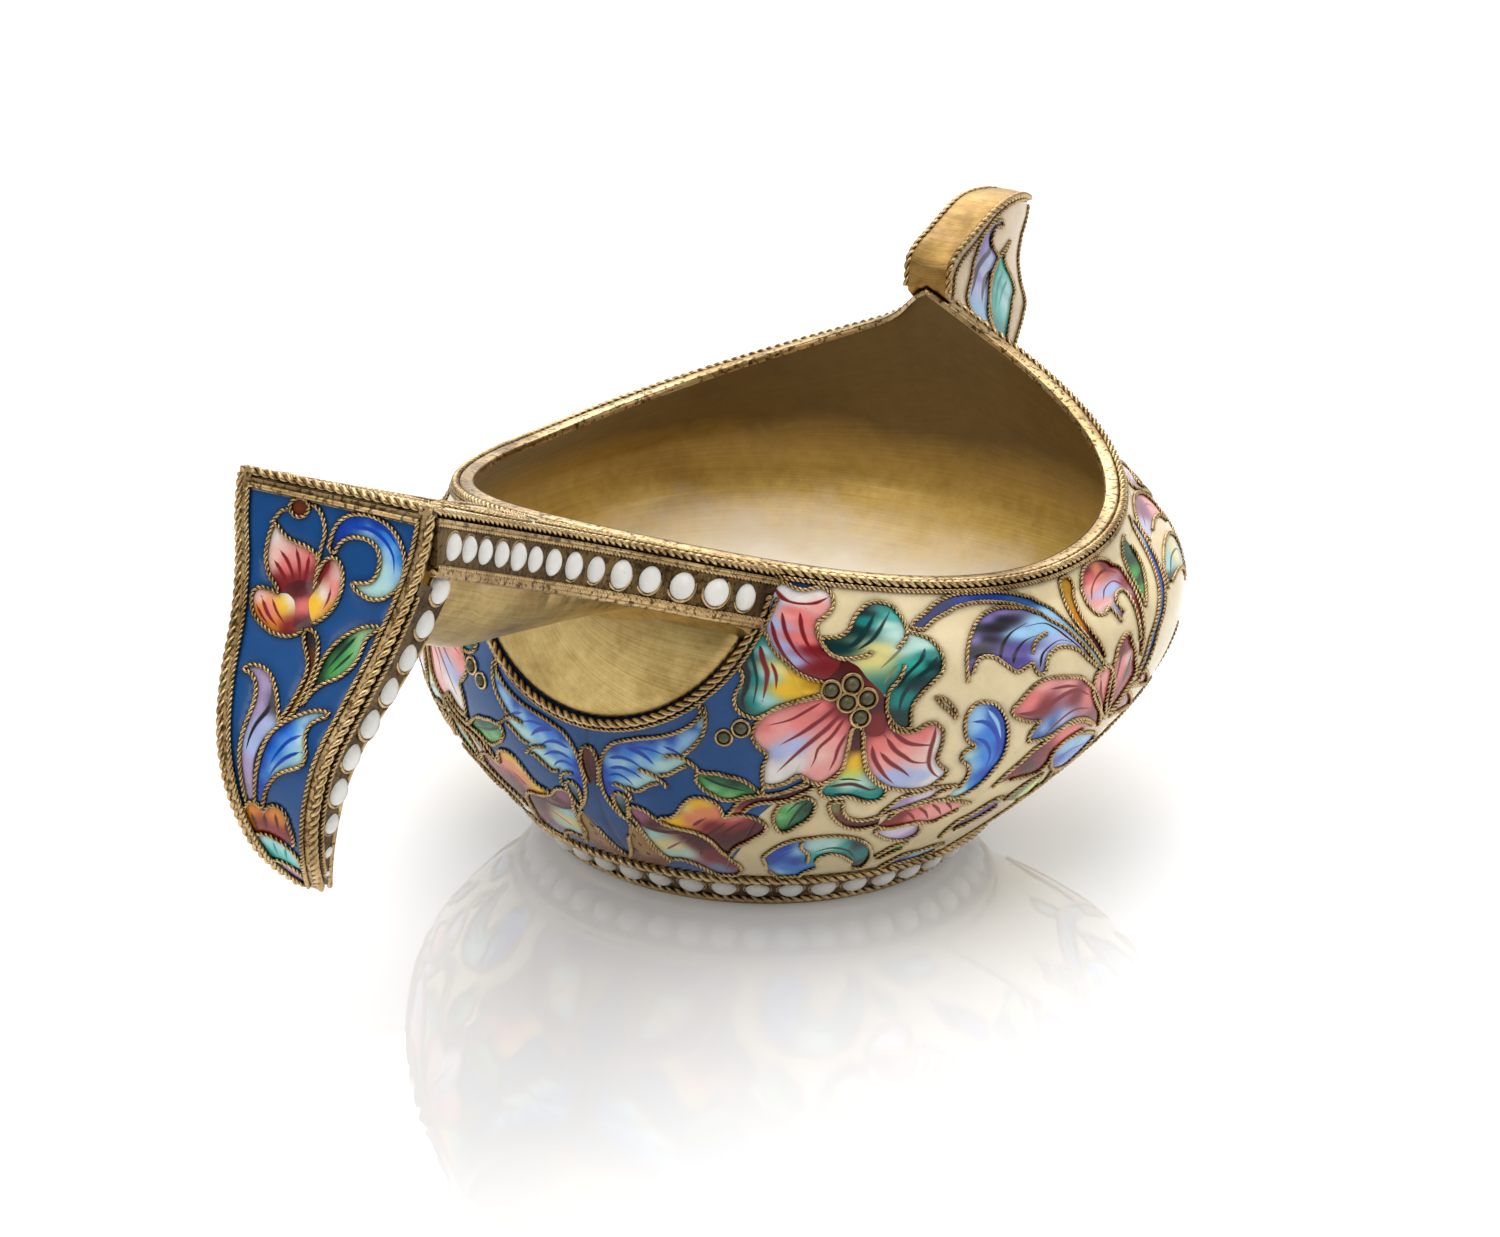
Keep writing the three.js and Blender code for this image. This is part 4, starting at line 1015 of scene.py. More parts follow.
def makeProwMetal():
    shares = np.linspace(prow["root"] * 0.9, 0.97, 70)
    half = prowHalf(shares) - 0.2
    across = np.linspace(-1, 1, 13)
    outer = shortOfBowl([prowInner(shares, 0.12 - 0.15 * (1 - w**2), half * w) for w in across], 1)
    inner = shortOfBowl([prowInner(shares, 0.85, half * w) for w in across], 1)
    curvePlate("prow_inner_face", outer, inner, prowGilt, "prow_inner_plate")
    run = np.linspace(prow["root"], 1, 160)
    for side, word in ((-1, "near"), (1, "far")):
        path = outsideBowl(prowInner(run, 0.25, side * prowHalf(run)), 0.2)
        twisted(f"prow_rope_{word}_wound", [path], "rope", f"prow_rope_{word}", wide=0.56)
    keel = outsideBowl(prowCurve("keel", np.linspace(0, 0.985, 240)), 0.2)
    twisted("prow_keel_wire_wound", [keel], "cloison", "prow_keel_wire", wide=0.5)


makeProwMetal()
print("prow made")


# enamel sheets: wire cells filled with shaded enamel and painted veins

enamelPalette = {
    "deepBlue": "#0d42a8", "midBlue": "#3a86dc", "paleBlue": "#a4cff0", "aqua": "#c3e9e4",
    "navy": "#142a6c", "groundBlue": "#174c82", "steelBlue": "#2f5f9e", "greyBlue": "#7f8fae",
    "lavender": "#b7c4ec", "pearl": "#cfd0e6", "darkTeal": "#0b2f30", "teal": "#12827d",
    "turquoise": "#3fb0a4", "paleCyan": "#b4dedd", "mint": "#c5e6dc", "blackGreen": "#0c2a1c",
    "darkGreen": "#145034", "green": "#4fa455", "paleGreen": "#9cc795", "lime": "#cfdc6a",
    "yellow": "#f5c431", "paleYellow": "#f2e29a", "ochre": "#c08f1c", "orange": "#dc8a2c",
    "salmon": "#e8936b", "rose": "#ea8580", "pink": "#f3aaa2", "palePink": "#f4cabf", "white": "#f3eee8",
    "maroon": "#7a1d22", "wine": "#4a1418", "brown": "#6b3016", "black": "#1d1820", "violet": "#8a7cb8",
    "darkViolet": "#5f5296", "lilac": "#b5a3c8", "paleLilac": "#e2d8ea", "mauve": "#94607a",
    "cream": "#ecdab2", "lowCream": "#ddcb9f", "paleCream": "#f3e6c6", "prowCream": "#dfc9a6",
    "olive": "#8c8a64", "giltEnamel": "#a8854a",
}
sheetLook = {
    "spacing": 0.42, "chain": 0.3, "veinChain": 0.4, "thick": 0.5, "wireOut": 0.02, "seed": 3,
    "pixelsPerMm": 12.6,
    # the glass dips beside the wires, and its colour is darkened there as painted shade; a vein is painted
    # stronger than it reads
    "dip": 0.07, "dipWide": 0.4, "shade": 0.22, "shadeWide": 0.3, "veinGrow": 1.45, "deeper": 1.12,
}


def spots(words):
    return [tuple(float(c) for c in word.split(",")) for word in words]


def paletteColour(name):
    code = enamelPalette[name]
    tone = np.array([int(code[i : i + 2], 16) / 255 for i in (1, 3, 5)])
    # fired colours are a little deeper than they look in the light
    return np.clip(tone.mean() + (tone - tone.mean()) * sheetLook["deeper"], 0, 1)


def makeSheet(surface, low, high, step):
    # a surface takes flat places in mm and a height over the enamel
    us, vs = np.arange(low[0], high[0] + step, step), np.arange(low[1], high[1] + step, step)
    flat = np.stack(np.meshgrid(us, vs, indexing="ij"), -1).reshape(-1, 2)
    points = surface(flat, np.zeros(len(flat)))
    wide, faces = len(vs), []
    for i in range(len(us) - 1):
        for j in range(wide - 1):
            a, b, c, d = i * wide + j, (i + 1) * wide + j, (i + 1) * wide + j + 1, i * wide + j + 1
            faces += [(a, b, c), (a, c, d)]
    tree = BVHTree.FromPolygons([Vector(p) for p in points], faces, all_triangles=True)
    return {"surface": surface, "tree": tree, "points": points, "flat": flat, "faces": faces}


def traced(sheet, pixels):
    # where the camera's sight line through each pixel meets the sheet
    found = []
    for pixel in pixels:
        start, way = sightLine(pixel)
        hit, _, index, _ = sheet["tree"].ray_cast(start, way)
        if hit is None:
            middle = Vector(sheet["points"].mean(0))
            hit, _, index, _ = sheet["tree"].find_nearest(start + way * (middle - start).dot(way))
        a, b, c = sheet["faces"][index]
        corner = sheet["points"][a]
        legs = np.stack([sheet["points"][b] - corner, sheet["points"][c] - corner], 1)
        share = np.linalg.lstsq(legs, np.array(hit) - corner, rcond=None)[0]
        flat = sheet["flat"]
        found.append(flat[a] + share[0] * (flat[b] - flat[a]) + share[1] * (flat[c] - flat[a]))
    return np.array(found)


def evenLine(points, step):
    points = np.asarray(points, float)
    keep = np.r_[True, np.linalg.norm(np.diff(points, axis=0), axis=1) > 1e-4]
    points = points[keep]
    if len(points) < 2:
        return points
    fine = pathThrough(points, np.linspace(0, 1, 24 * len(points)))
    run = runOf(fine)
    even = np.linspace(0, run[-1], max(2, int(round(run[-1] / step)) + 1))
    return np.stack([np.interp(even, run, column) for column in fine.T], -1)


def readMotif(sheet, motif, place=None):
    # turns a motif's lines into flat places on the sheet
    def read(words):
        # some motifs are given in mm on the sheet, the others in picture pixels
        flat = np.array(spots(words)) if "flat" in motif else traced(sheet, spots(words))
        return place(flat) if place else flat

    arcs, inner, tints, veins, rings = [], [], [], [], []
    for first, *words in (text.split() for text in motif if " " in text):
        if first == "wire":
            inner.append(evenLine(read(words), sheetLook["chain"]))
        elif first == "ring":
            rings.append((read(words[1:])[0], float(words[0])))
        elif first not in enamelPalette:
            arcs.append([read(words if first == "bare" else [first, *words]), first == "bare"])
        elif "," in words[0]:
            tints += [(spot, paletteColour(first)) for spot in read(words)]
        else:
            path = evenLine(read(words[1:]), sheetLook["veinChain"])
            if len(path) > 2:
                grown = float(words[0]) / sheetLook["pixelsPerMm"] * sheetLook["veinGrow"]
                veins.append((path, grown, paletteColour(first)))
    count = len(arcs)
    for k in range(count):
        points, bare = arcs[k]
        before, after = arcs[k - 1][0][-1], arcs[(k + 1) % count][0][0]
        if bare:
            arcs[k][0] = np.vstack([before, points, after])
        elif not arcs[k - 1][1] and count > 1 and np.linalg.norm(points[0] - before) < 1.0:
            arcs[k][0] = np.vstack([before, points])
    if count == 1 and not arcs[0][1]:
        arcs[0][0] = np.vstack([arcs[0][0], arcs[0][0][:1]])
    lines = [evenLine(points, sheetLook["chain"]) for points, _ in arcs]
    wires = [line for line, (_, bare) in zip(lines, arcs) if not bare] + inner
    home = "blue" if "blue" in motif else "cream"
    cell = {"loop": np.vstack(lines), "home": home, "tints": tints}
    return {**cell, "wires": wires, "veins": veins, "rings": rings}


def groundCell(loop, tones, home="cream"):
    tints = [(np.array(place), paletteColour(tone)) for tone, place in tones]
    cell = {"loop": np.array(loop, float), "home": home, "tints": tints}
    return {**cell, "wires": [], "veins": [], "rings": []}


def insideLoop(points, loop):
    x, y = points[:, 0], points[:, 1]
    inside = np.zeros(len(points), bool)
    box = ((points >= loop.min(0)) & (points <= loop.max(0))).all(1)
    px, py = x[box], y[box]
    odd = np.zeros(len(px), bool)
    for (ax, ay), (bx, by) in zip(loop, np.roll(loop, -1, 0)):
        if ay != by:
            crossing = ((ay > py) != (by > py)) & (px < (bx - ax) * (py - ay) / (by - ay) + ax)
            odd ^= crossing
    inside[box] = odd
    return inside


def veinWidth(share, wide):
    # a brush stroke: quick swell, long taper
    return wide / 2 * np.minimum(1, share / 0.18) ** 0.6 * np.minimum(1, (1 - share) / 0.5) ** 0.7 + 0.015


def veinLines(path, wide):
    along = unit(np.gradient(path, axis=0))
    side = np.stack([-along[:, 1], along[:, 0]], -1)
    half = veinWidth(np.linspace(0, 1, len(path)), wide)[:, None]
    return [path + side * half * offset for offset in (-1, -0.5, 0.5, 1)]


def veinShare(points, path, wide):
    # how strongly the vein covers each point, from its distance to the path
    strength = np.zeros(len(points))
    reach = wide / 2 + 0.05
    box = ((points >= path.min(0) - reach) & (points <= path.max(0) + reach)).all(1)
    if not box.any():
        return strength
    near = points[box]
    best, where = np.full(len(near), 9.0), np.zeros(len(near))
    for k in range(len(path) - 1):
        a, leg = path[k], path[k + 1] - path[k]
        t = np.clip(((near - a) @ leg) / max(leg @ leg, 1e-9), 0, 1)
        gap = np.linalg.norm(near - a - t[:, None] * leg, axis=1)
        closer = gap < best
        best[closer], where[closer] = gap[closer], (k + t[closer]) / (len(path) - 1)
    half = veinWidth(where, wide)
    strength[box] = np.clip((half - best) / (0.45 * half), 0, 1)
    return strength


def paintedColours(cell, points):
    # tints shade into each other, then the veins go over them
    total, weight = np.zeros((len(points), 3)), np.zeros(len(points))
    for spot, tint in cell["tints"]:
        share = 1 / (((points - spot) ** 2).sum(1) + 0.12) ** 1.7
        total += share[:, None] * tint
        weight += share
    colours = total / weight[:, None]
    for path, wide, tint in cell["veins"]:
        strength = veinShare(points, path, wide)[:, None] * 0.97
        colours = colours * (1 - strength) + tint * strength
    return colours


def tessellate(border, cells, clip=None):
    # triangles that follow every outline and vein of the cells
    points, edges = [], []

    def chain(line, closed):
        start = len(points)
        points.extend(map(tuple, line))
        edges.extend((k, k + 1) for k in range(start, len(points) - 1))
        if closed:
            edges.append((len(points) - 1, start))

    chain(border, True)
    for cell in cells:
        if len(cell["loop"]) > 2:
            chain(cell["loop"], True)
        for path, wide, _ in cell["veins"]:
            for line in veinLines(path, wide):
                chain(line, False)
    taken = KDTree(len(points))
    for k, (x, y) in enumerate(points):
        taken.insert((x, y, 0), k)
    taken.balance()
    random = np.random.default_rng(sheetLook["seed"])
    spacing = sheetLook["spacing"]
    (left, low), (right, high) = border.min(0), border.max(0)
    for row, v in enumerate(np.arange(low + spacing / 2, high, spacing * 0.87)):
        for u in np.arange(left + spacing * (0.5 if row % 2 else 0.95), right, spacing):
            x, y = np.array([u, v]) + random.uniform(-0.06, 0.06, 2)
            if taken.find((x, y, 0))[2] > spacing * 0.45:
                points.append((x, y))
    made = delaunay_2d_cdt([Vector(p) for p in points], edges, [], 0, 1e-5, False)
    flat = np.array([tuple(p) for p in made[0]])
    faces = np.array([face for face in made[2] if len(face) == 3])
    middles = flat[faces].mean(1)
    sides = flat[faces[:, [1, 2, 0]]] - flat[faces]
    twice = np.abs(sides[:, 0, 0] * sides[:, 1, 1] - sides[:, 0, 1] * sides[:, 1, 0])
    longest = np.linalg.norm(sides, axis=-1).max(1)
    # slivers along the straight borders would span the curved wall
    keep = insideLoop(middles, border) & (twice > 0.002 * longest)
    if clip is not None:
        keep &= clip(middles)
    return flat, faces[keep], middles[keep]


def enamelSheet(sheet, border, cells, homes, clip=None):
    # grounds come first among the cells; each home's triangles become one piece
    flat, faces, middles = tessellate(border, cells, clip)
    owner = np.full(len(faces), -1)
    for k, cell in enumerate(cells):
        if len(cell["loop"]) > 2:
            owner[insideLoop(middles, cell["loop"])] = k
    places = [place for cell in cells for wire in cell["wires"] for place in wire] + list(border)
    wireTree = KDTree(len(places))
    for k, (u, v) in enumerate(places):
        wireTree.insert((u, v, 0), k)
    wireTree.balance()
    gap = np.array([wireTree.find((u, v, 0))[2] for u, v in flat])
    height = -sheetLook["dip"] * np.exp(-((gap / sheetLook["dipWide"]) ** 2))
    skin = sheet["surface"](flat, height)
    lining = sheet["surface"](flat, np.full(len(flat), -sheetLook["thick"]))
    colours = np.zeros((len(faces), 3, 3))
    for k, cell in enumerate(cells):
        mine = owner == k
        if mine.any() and cell["tints"]:
            colours[mine] = paintedColours(cell, flat[faces[mine]].reshape(-1, 2)).reshape(-1, 3, 3)
    # painted shade: the enamel's colour darkens close to every wire
    colours *= 1 - sheetLook["shade"] * np.exp(-((gap[faces] / sheetLook["shadeWide"]) ** 2))[..., None]
    paint = np.where(colours < 0.04045, colours / 12.92, ((colours + 0.055) / 1.055) ** 2.4)
    owned = np.array([cells[k]["home"] for k in owner])
    return {home: (skin, lining, faces[owned == home], paint[owned == home], flat) for home in homes}


def closedSheet(name, parts, skipWall=None):
    # skin, lining and the walls between them, of one sheet or of two that meet where no wall stands
    allPoints, allFaces, allPaint, start = [], [], [], 0
    for skin, lining, faces, paint, flat in parts:
        count = len(skin)
        directed = {}
        for (a, b, c), tones in zip(faces.tolist(), paint):
            allFaces.append((start + a, start + b, start + c))
            allPaint.extend(tones)
            allFaces.append((start + count + c, start + count + b, start + count + a))
            allPaint.extend(tones[::-1])
            for p, q, tone in ((a, b, tones[0]), (b, c, tones[1]), (c, a, tones[2])):
                directed[(p, q)] = tone
        for (p, q), tone in directed.items():
            if (q, p) in directed or (skipWall is not None and skipWall(flat[p]) and skipWall(flat[q])):
                continue
            allFaces.append((start + q, start + p, start + count + p, start + count + q))
            allPaint.extend([tone] * 4)
        allPoints += [skin, lining]
        start += 2 * count
    points = np.vstack(allPoints)
    used = np.unique(np.concatenate([np.array(face) for face in allFaces]))
    number = np.zeros(len(points), int)
    number[used] = np.arange(len(used))
    renamed = [tuple(number[list(face)]) for face in allFaces]
    paint = np.ones((len(allPaint), 4), np.float32)
    paint[:, :3] = allPaint
    return meshPiece(name, points[used], renamed, firedEnamel, paint=paint, sharpAbove=50)


def mirroredPart(part):
    skin, lining, faces, paint, flat = part
    return skin * [1, -1, 1], lining * [1, -1, 1], faces[:, ::-1], paint[:, ::-1], flat


# the bowl's enamel: outlines are read in picture pixels and laid on the wall along the sight lines.
# A motif lists the arcs of its outline in order: each has a wire, but a bare one runs under a neighbour.
# Then come wires and rings inside it, colours with the places where they lie, and painted veins, which are
# a colour, a width in pixels and a path. A flat motif is in mm on the sheet, a blue one lies on the blue.

wallSheetSize = {"perTurn": 180.0, "perRise": 40.0, "lip": 1.55, "edge": (1.62, 0.76)}
wallDivide = "757,560 760,600 775,650 800,690 815,720 800,760 790,790 760,815 740,850 725,872 715,885"

wallMotifs = {
    "bud": [
        "blue", "548,735 555,738 561,745 565,754 566,764 565,776", "bare 560,776 555,770 548,755",
        "brown 552,742 558,750", "wine 562,765 561,756", "wine 3 553,748 558,757 562,768",
    ],
    "blueLeaf": [
        "blue",
        "612,818 603,812 594,806 587,800 580,793 574,785 570,776 568,766 569,756 573,748 580,742 589,738 "
        "600,737 620,736 640,736 655,735 670,732 684,727 692,722 698,716",
        "702,706 704,714 704,722 702,732 697,740 690,747 683,752 679,755", "bare 684,762",
        "684,765 677,767 670,770 663,773 657,774 651,773", "bare 654,779",
        "650,782 643,782 636,784 628,787 621,788 615,786 610,783", "bare 613,797 609,806",
        "wire 657,756 665,755 674,756 681,759 688,763 697,770",
        "wire 624,767 632,769 640,772 648,776 654,780 660,786",
        "wire 588,778 597,780 605,784 611,790 614,797", "wire 699,716 698,708 697,703 693,701",
        "deepBlue 574,765 590,743 612,740 640,740 665,738 690,727 584,790 600,806 578,778",
        "midBlue 590,770 612,750 642,748 610,766",
        "paleBlue 592,757 625,757 655,749 680,742 600,777 690,735",
        "aqua 655,765 675,762 618,779 638,777 697,722 605,761",
        "deepBlue 5 606,744 620,748 634,755 645,764", "deepBlue 4 582,752 600,753 615,758 630,767",
        "deepBlue 4 582,762 600,763 616,769 630,777", "deepBlue 3 580,769 595,769 608,775 618,783",
        "deepBlue 3 618,744 640,748 656,754", "deepBlue 3 655,745 668,750 678,755",
    ],
    "greyLeaf": [
        "blue", "588,789 595,787 603,790 608,796 609,805 607,813 602,812 596,806 591,799 588,792",
        "greyBlue 595,793", "darkTeal 600,805 604,795", "mint 598,791",
    ],
    "giltScale": [
        "blue", "609,818 622,826 636,838 650,850 664,860", "bare 655,864 640,866 622,862 610,858",
        "610,858 606,845 606,830",
        "giltEnamel 612,835 630,850", "brown 640,858 612,850", "wine 5 612,828 616,834",
        "wine 5 620,838 625,843", "wine 5 612,842 617,848", "wine 5 630,848 636,853",
        "wine 5 622,853 628,857", "wine 4 640,857 646,861",
    ],
    "darkFlowerUpper": [
        "blue",
        "650,817 656,816 665,816 671,813 676,807 681,802 688,798 696,797 706,799 714,802 719,807 724,817",
        "732,815 742,815 752,817 761,821 766,827 763,833 756,837 747,842 738,846 732,851 730,855",
        "722,852 714,844 706,838 696,833 686,830 676,828 665,825 656,822",
        "paleYellow 680,806", "yellow 690,803 704,803 668,819", "salmon 700,812 712,812 690,818",
        "maroon 712,826 742,824", "wine 722,838 752,828 728,848 745,838", "rose 735,818",
        "maroon 4 690,826 700,820 706,818", "maroon 4 700,832 708,826 716,821",
        "wine 4 705,836 718,828 726,822", "wine 4 712,841 728,830 742,822",
        "wine 4 720,845 738,836 752,826",
    ],
    "darkFlowerLower": [
        "blue", "609,806 614,802 622,804 632,808 640,813 648,818 656,822",
        "656,822 665,825 676,828 686,830 696,833 706,838 714,844 722,852 730,859 739,865 742,870",
        "742,870 738,874 728,875 718,874 708,870 698,865 690,862 678,858 665,857 656,854 648,850 641,845 "
        "635,839 631,832 625,826 620,819 614,813",
        "mauve 618,808 630,815 690,864", "wine 640,822 700,845 690,838", "paleCyan 642,832",
        "paleYellow 655,843 670,846", "mint 682,853 668,852", "greyBlue 720,868", "maroon 728,862 712,856",
        "wine 6 622,820 640,827 660,831 685,833 700,842 699,856", "mauve 3 659,848 672,843 684,839",
    ],
    "blueCrescent": [
        "blue", "762,787 775,786 790,781 800,776 806,780 795,787 780,793 765,795",
        "steelBlue 775,790 795,783",
    ],
    "darkStem": [
        "blue", "724,817 731,811 736,804 743,799 752,796 762,795 774,794 787,791 799,787 808,784",
        "bare 813,784", "816,785 810,790 799,795 787,800 773,802 760,803 751,806 743,812",
        "wine 750,800 790,795", "salmon 730,814", "maroon 742,803",
    ],
    "greenLeafLeft": [
        "blue", "696,771 706,773 715,773 726,776 737,778 746,782 753,787 761,793",
        "756,796 745,796 737,799 728,800 720,799 713,795 705,791 699,786 694,780",
        "darkGreen 712,777 730,781 746,787", "green 705,783 722,792 740,793", "paleGreen 712,788 730,796",
        "blackGreen 735,782", "blackGreen 3 700,776 716,783 732,788 750,792",
    ],
    "greenLeafRight": [
        "807,797 796,800 783,803 777,809 773,817 775,826 780,832 788,831 797,826 807,820 814,811 814,801",
        "darkGreen 808,803 805,815 792,826", "green 785,812 782,822", "paleGreen 780,817 790,806",
        "blackGreen 810,810", "blackGreen 3 811,800 801,808 793,818 786,829",
        "darkGreen 2 804,800 794,806 786,814",
    ],
    "leftPetal": [
        "blue",
        "766,632 756,630 746,631 737,638 733,647 733,656 738,666 742,674 741,684 736,692 734,701 738,711 "
        "746,716 755,718 765,714 778,707 791,703 804,699 821,695",
        "bare 830,690 823,682 798,668 778,645 768,634",
        "darkTeal 739,646 744,675 741,704 738,655", "teal 751,645 752,678 751,702",
        "paleCyan 765,650 768,675 764,700", "paleYellow 778,670", "yellow 785,690 795,675 808,692",
        "ochre 812,688", "black 7 741,640 739,652 744,665 747,675 746,688 742,700 746,713",
        "darkTeal 3 753,640 752,655 755,668 757,682 753,705",
        "maroon 5 760,645 763,660 767,672 766,685 763,700", "maroon 3 771,662 776,675 776,690",
        "wine 9 803,688 811,688",
    ],
    "upperLeftPetal": [
        "blue", "823,682 813,680 798,673 787,663 775,652 767,637 762,620 760,602 763,591 772,583",
        "780,581 788,584 795,588 804,590 813,588 821,587 829,591 833,598 833,605 827,615 818,622 817,632 "
        "822,643 832,655 843,659", "bare 850,668 852,678 838,684",
        "lavender 766,600 768,622 776,645 790,662", "paleBlue 764,612", "white 800,593 818,592 790,590",
        "rose 795,612 806,622", "pink 785,615 820,606", "maroon 815,650 822,668 810,672", "rose 802,640",
        "maroon 5 773,586 783,598 795,603 808,604 820,601 829,597",
        "maroon 4 771,620 776,640 784,655 795,667 806,676",
        "maroon 4 782,612 785,630 792,645 802,658 815,668",
        "maroon 4 800,612 802,630 808,645 816,655 824,662",
    ],
    "lowerLeftPetal": [
        "821,697 806,700 790,704 775,709 763,716 755,725 752,736 757,746 767,755 763,766 762,780 763,785",
        "774,786 785,783 794,777 799,775",
        "804,778 811,782 821,784 829,780 836,775 843,767 846,756 849,744 852,728",
        "bare 853,712 845,700 833,694",
        "maroon 840,705 845,716", "rose 820,706 800,722 765,727 838,726", "pink 780,727 830,745 765,738",
        "lavender 778,752 795,746", "white 772,770 780,778 795,765", "pink 815,772 835,765",
        "palePink 820,755", "maroon 3 822,702 805,712 790,720 768,726",
        "maroon 4 838,706 818,722 800,734 791,739 780,745",
        "maroon 4 843,712 830,726 818,736 801,750 791,759 777,772",
        "maroon 3 846,718 832,736 818,749 815,759 811,767", "maroon 3 847,733 838,749 835,759 829,771",
    ],
    "lowerRightPetal": [
        "864,735 864,749 866,764 871,775 880,783 890,788 902,790 916,790 929,787 938,781 945,776 947,771 "
        "941,766 937,759 940,750 943,739 943,730 936,723", "927,724 917,730 905,732 893,729 888,720",
        "bare 885,705 875,700 866,712 864,725",
        "wine 876,712", "maroon 876,728", "rose 878,745 900,742 925,735", "pink 905,752 885,762",
        "lavender 905,775 890,778 925,775", "white 935,768 930,782 938,742", "palePink 918,760",
        "maroon 4 936,727 934,738 930,752 929,765 934,774 940,778",
        "maroon 4 872,745 874,758 880,769 886,777 894,784",
        "maroon 4 880,752 888,761 895,766 903,771 910,777",
        "maroon 4 886,737 895,750 905,757 913,762 927,763", "maroon 4 892,732 908,743 920,745 933,745",
    ],
    "smallLowerPetal": [
        "856,724 851,732 849,744 846,757 842,769 835,778 826,783 821,787 820,793 825,797 835,798 847,797 "
        "856,799 866,802 876,801 883,797 886,791 884,787 876,783 870,777 866,770 864,760 863,747 863,735 "
        "861,727",
        "wine 857,735 856,748", "yellow 855,765 857,758", "lime 853,775", "mint 850,783 862,782",
        "teal 830,794 880,796 855,795", "wine 4 828,787 840,785 852,784 862,787 872,790 880,787",
        "darkTeal 2 838,780 850,779 862,781", "darkTeal 4 832,794 850,795 866,799 876,799",
    ],
    "twoLobedLeaf": [
        "821,641 823,638 838,637 848,631 853,620 862,608 873,602 885,603 895,608 903,620 907,631",
        "917,634 928,638 938,647 943,658 942,672 933,682 922,693 913,705 911,717 910,728 903,729 895,725 "
        "888,715 887,702 890,690 897,682 900,678", "bare 893,688 885,695 877,688 867,678 858,668 852,660",
        "873,652 866,656 855,658 843,659 832,655 822,645", "wire 907,631 905,640 898,648",
        "wire 900,678 903,672 905,665",
        "darkTeal 838,648 858,630 868,612", "teal 870,622 885,610", "mint 885,625 898,635",
        "paleYellow 885,650 875,660", "mint 905,650 918,645", "teal 928,655 905,700",
        "darkTeal 936,665 900,718 925,685", "turquoise 890,615 915,665",
        "darkTeal 6 838,650 853,645 866,630 875,612", "darkTeal 4 858,650 872,640 884,622 890,610",
        "olive 3 902,648 890,660 880,669", "darkTeal 6 938,656 930,668 915,680 903,696 898,715",
        "darkTeal 4 925,648 921,660 908,674 897,690", "olive 3 898,664 890,674 884,684",
    ],
    "flowerCore": [
        "bare 843,660 856,665 868,679 884,695 888,708 887,722 884,734 868,736 862,724 854,722 845,706 "
        "830,690 824,682 835,672", "ring 0.72 831,690", "ring 0.72 852,684", "ring 0.72 847,702",
        "ring 0.72 867,698", "ring 0.72 860,717", "ring 0.64 741,728", "ring 0.6 724,737",
        "wine 850,680 870,705", "maroon 862,690 880,725",
    ],
    "arcStem": [
        "912,628 922,615 933,605 947,597 962,593 983,592 1000,592 1020,595 1037,601 1050,608 1062,617 "
        "1073,627 1083,637 1093,648 1103,663",
        "1102,672 1097,665 1087,650 1075,637 1063,627 1050,620 1037,612 1020,606 1007,603 983,602 967,604 "
        "950,610 937,618 923,630",
        "navy 922,622 940,605", "deepBlue 965,597 990,597", "steelBlue 1020,600",
        "paleBlue 1050,613 1070,630", "mint 1090,650",
    ],
    "violetAcanthus": [
        "968,682 967,663 968,647 972,632 978,620 987,612 998,607 1010,607 1023,608 1037,613",
        "bare 1063,627 1087,650",
        "1097,667 1087,658 1080,651 1070,647 1060,647 1052,652 1047,660 1046,670 1042,675 1037,672 "
        "1033,663", "1027,667 1018,672 1010,668 1002,662 993,657 983,657 977,662 973,673",
        "wire 1033,653 1035,643 1040,637 1047,633",
        "violet 975,640 985,618 1000,610 970,665", "black 985,640 995,628 1005,620",
        "darkViolet 1015,650 1005,655 1020,660", "paleBlue 1020,633 1040,622 1045,630",
        "lavender 1042,655 1065,637 1080,647", "black 978,652",
        "black 4 1000,660 1003,645 1012,632 1028,622", "black 4 1013,664 1016,652 1026,640 1040,634",
        "black 3 1023,627 1043,623 1055,628 1067,637 1088,657",
        "black 3 1040,668 1044,652 1060,640 1072,642",
    ],
    "ochreStem": [
        "1063,577 1059,582 1062,595 1067,608 1075,622 1083,632 1092,645 1100,658 1105,663",
        "1105,657 1100,643 1092,632 1083,620 1077,608 1073,595 1072,583 1067,577",
        "ochre 1066,585 1070,600", "orange 1077,617", "wine 1095,643 1102,655",
    ],
    "pinkScroll": [
        "1140,655 1143,640 1143,622 1141,608 1137,596 1131,584 1124,573 1117,566 1108,561 1098,559 "
        "1089,562 1083,569 1081,580 1082,592 1086,602 1092,610 1099,615 1106,613 1109,607",
        "1109,607 1113,611 1118,617 1122,622",
        "1124,612 1119,607 1116,600 1117,593 1122,590 1127,594 1132,602 1136,612 1139,625 1140,640",
        "maroon 1126,580 1137,602 1141,625 1105,564 1087,570", "salmon 1097,570", "pink 1090,588 1098,603",
        "rose 1090,578", "lavender 1108,592 1114,608 1112,587", "palePink 1104,606",
        "maroon 3 1123,585 1112,581 1105,588 1103,600",
        "maroon 3 1118,573 1106,570 1097,577 1092,588 1092,600",
    ],
    "greenLeafTop": [
        "1124,535 1122,545 1123,556 1127,568 1132,578 1137,588 1142,598 1145,606",
        "1146,602 1146,590 1145,578 1142,566 1137,555 1131,545",
        "blackGreen 1134,553 1142,575", "darkGreen 1128,552", "green 1134,575 1140,592",
    ],
    "blueStem": [
        "flat", "46.6,17.3 48.5,22 51,27.5 53.5,32.5 56,37 58.4,40.8",
        "59.2,39.8 56.9,36 54.4,31.5 52,26.5 49.4,21 47.6,17",
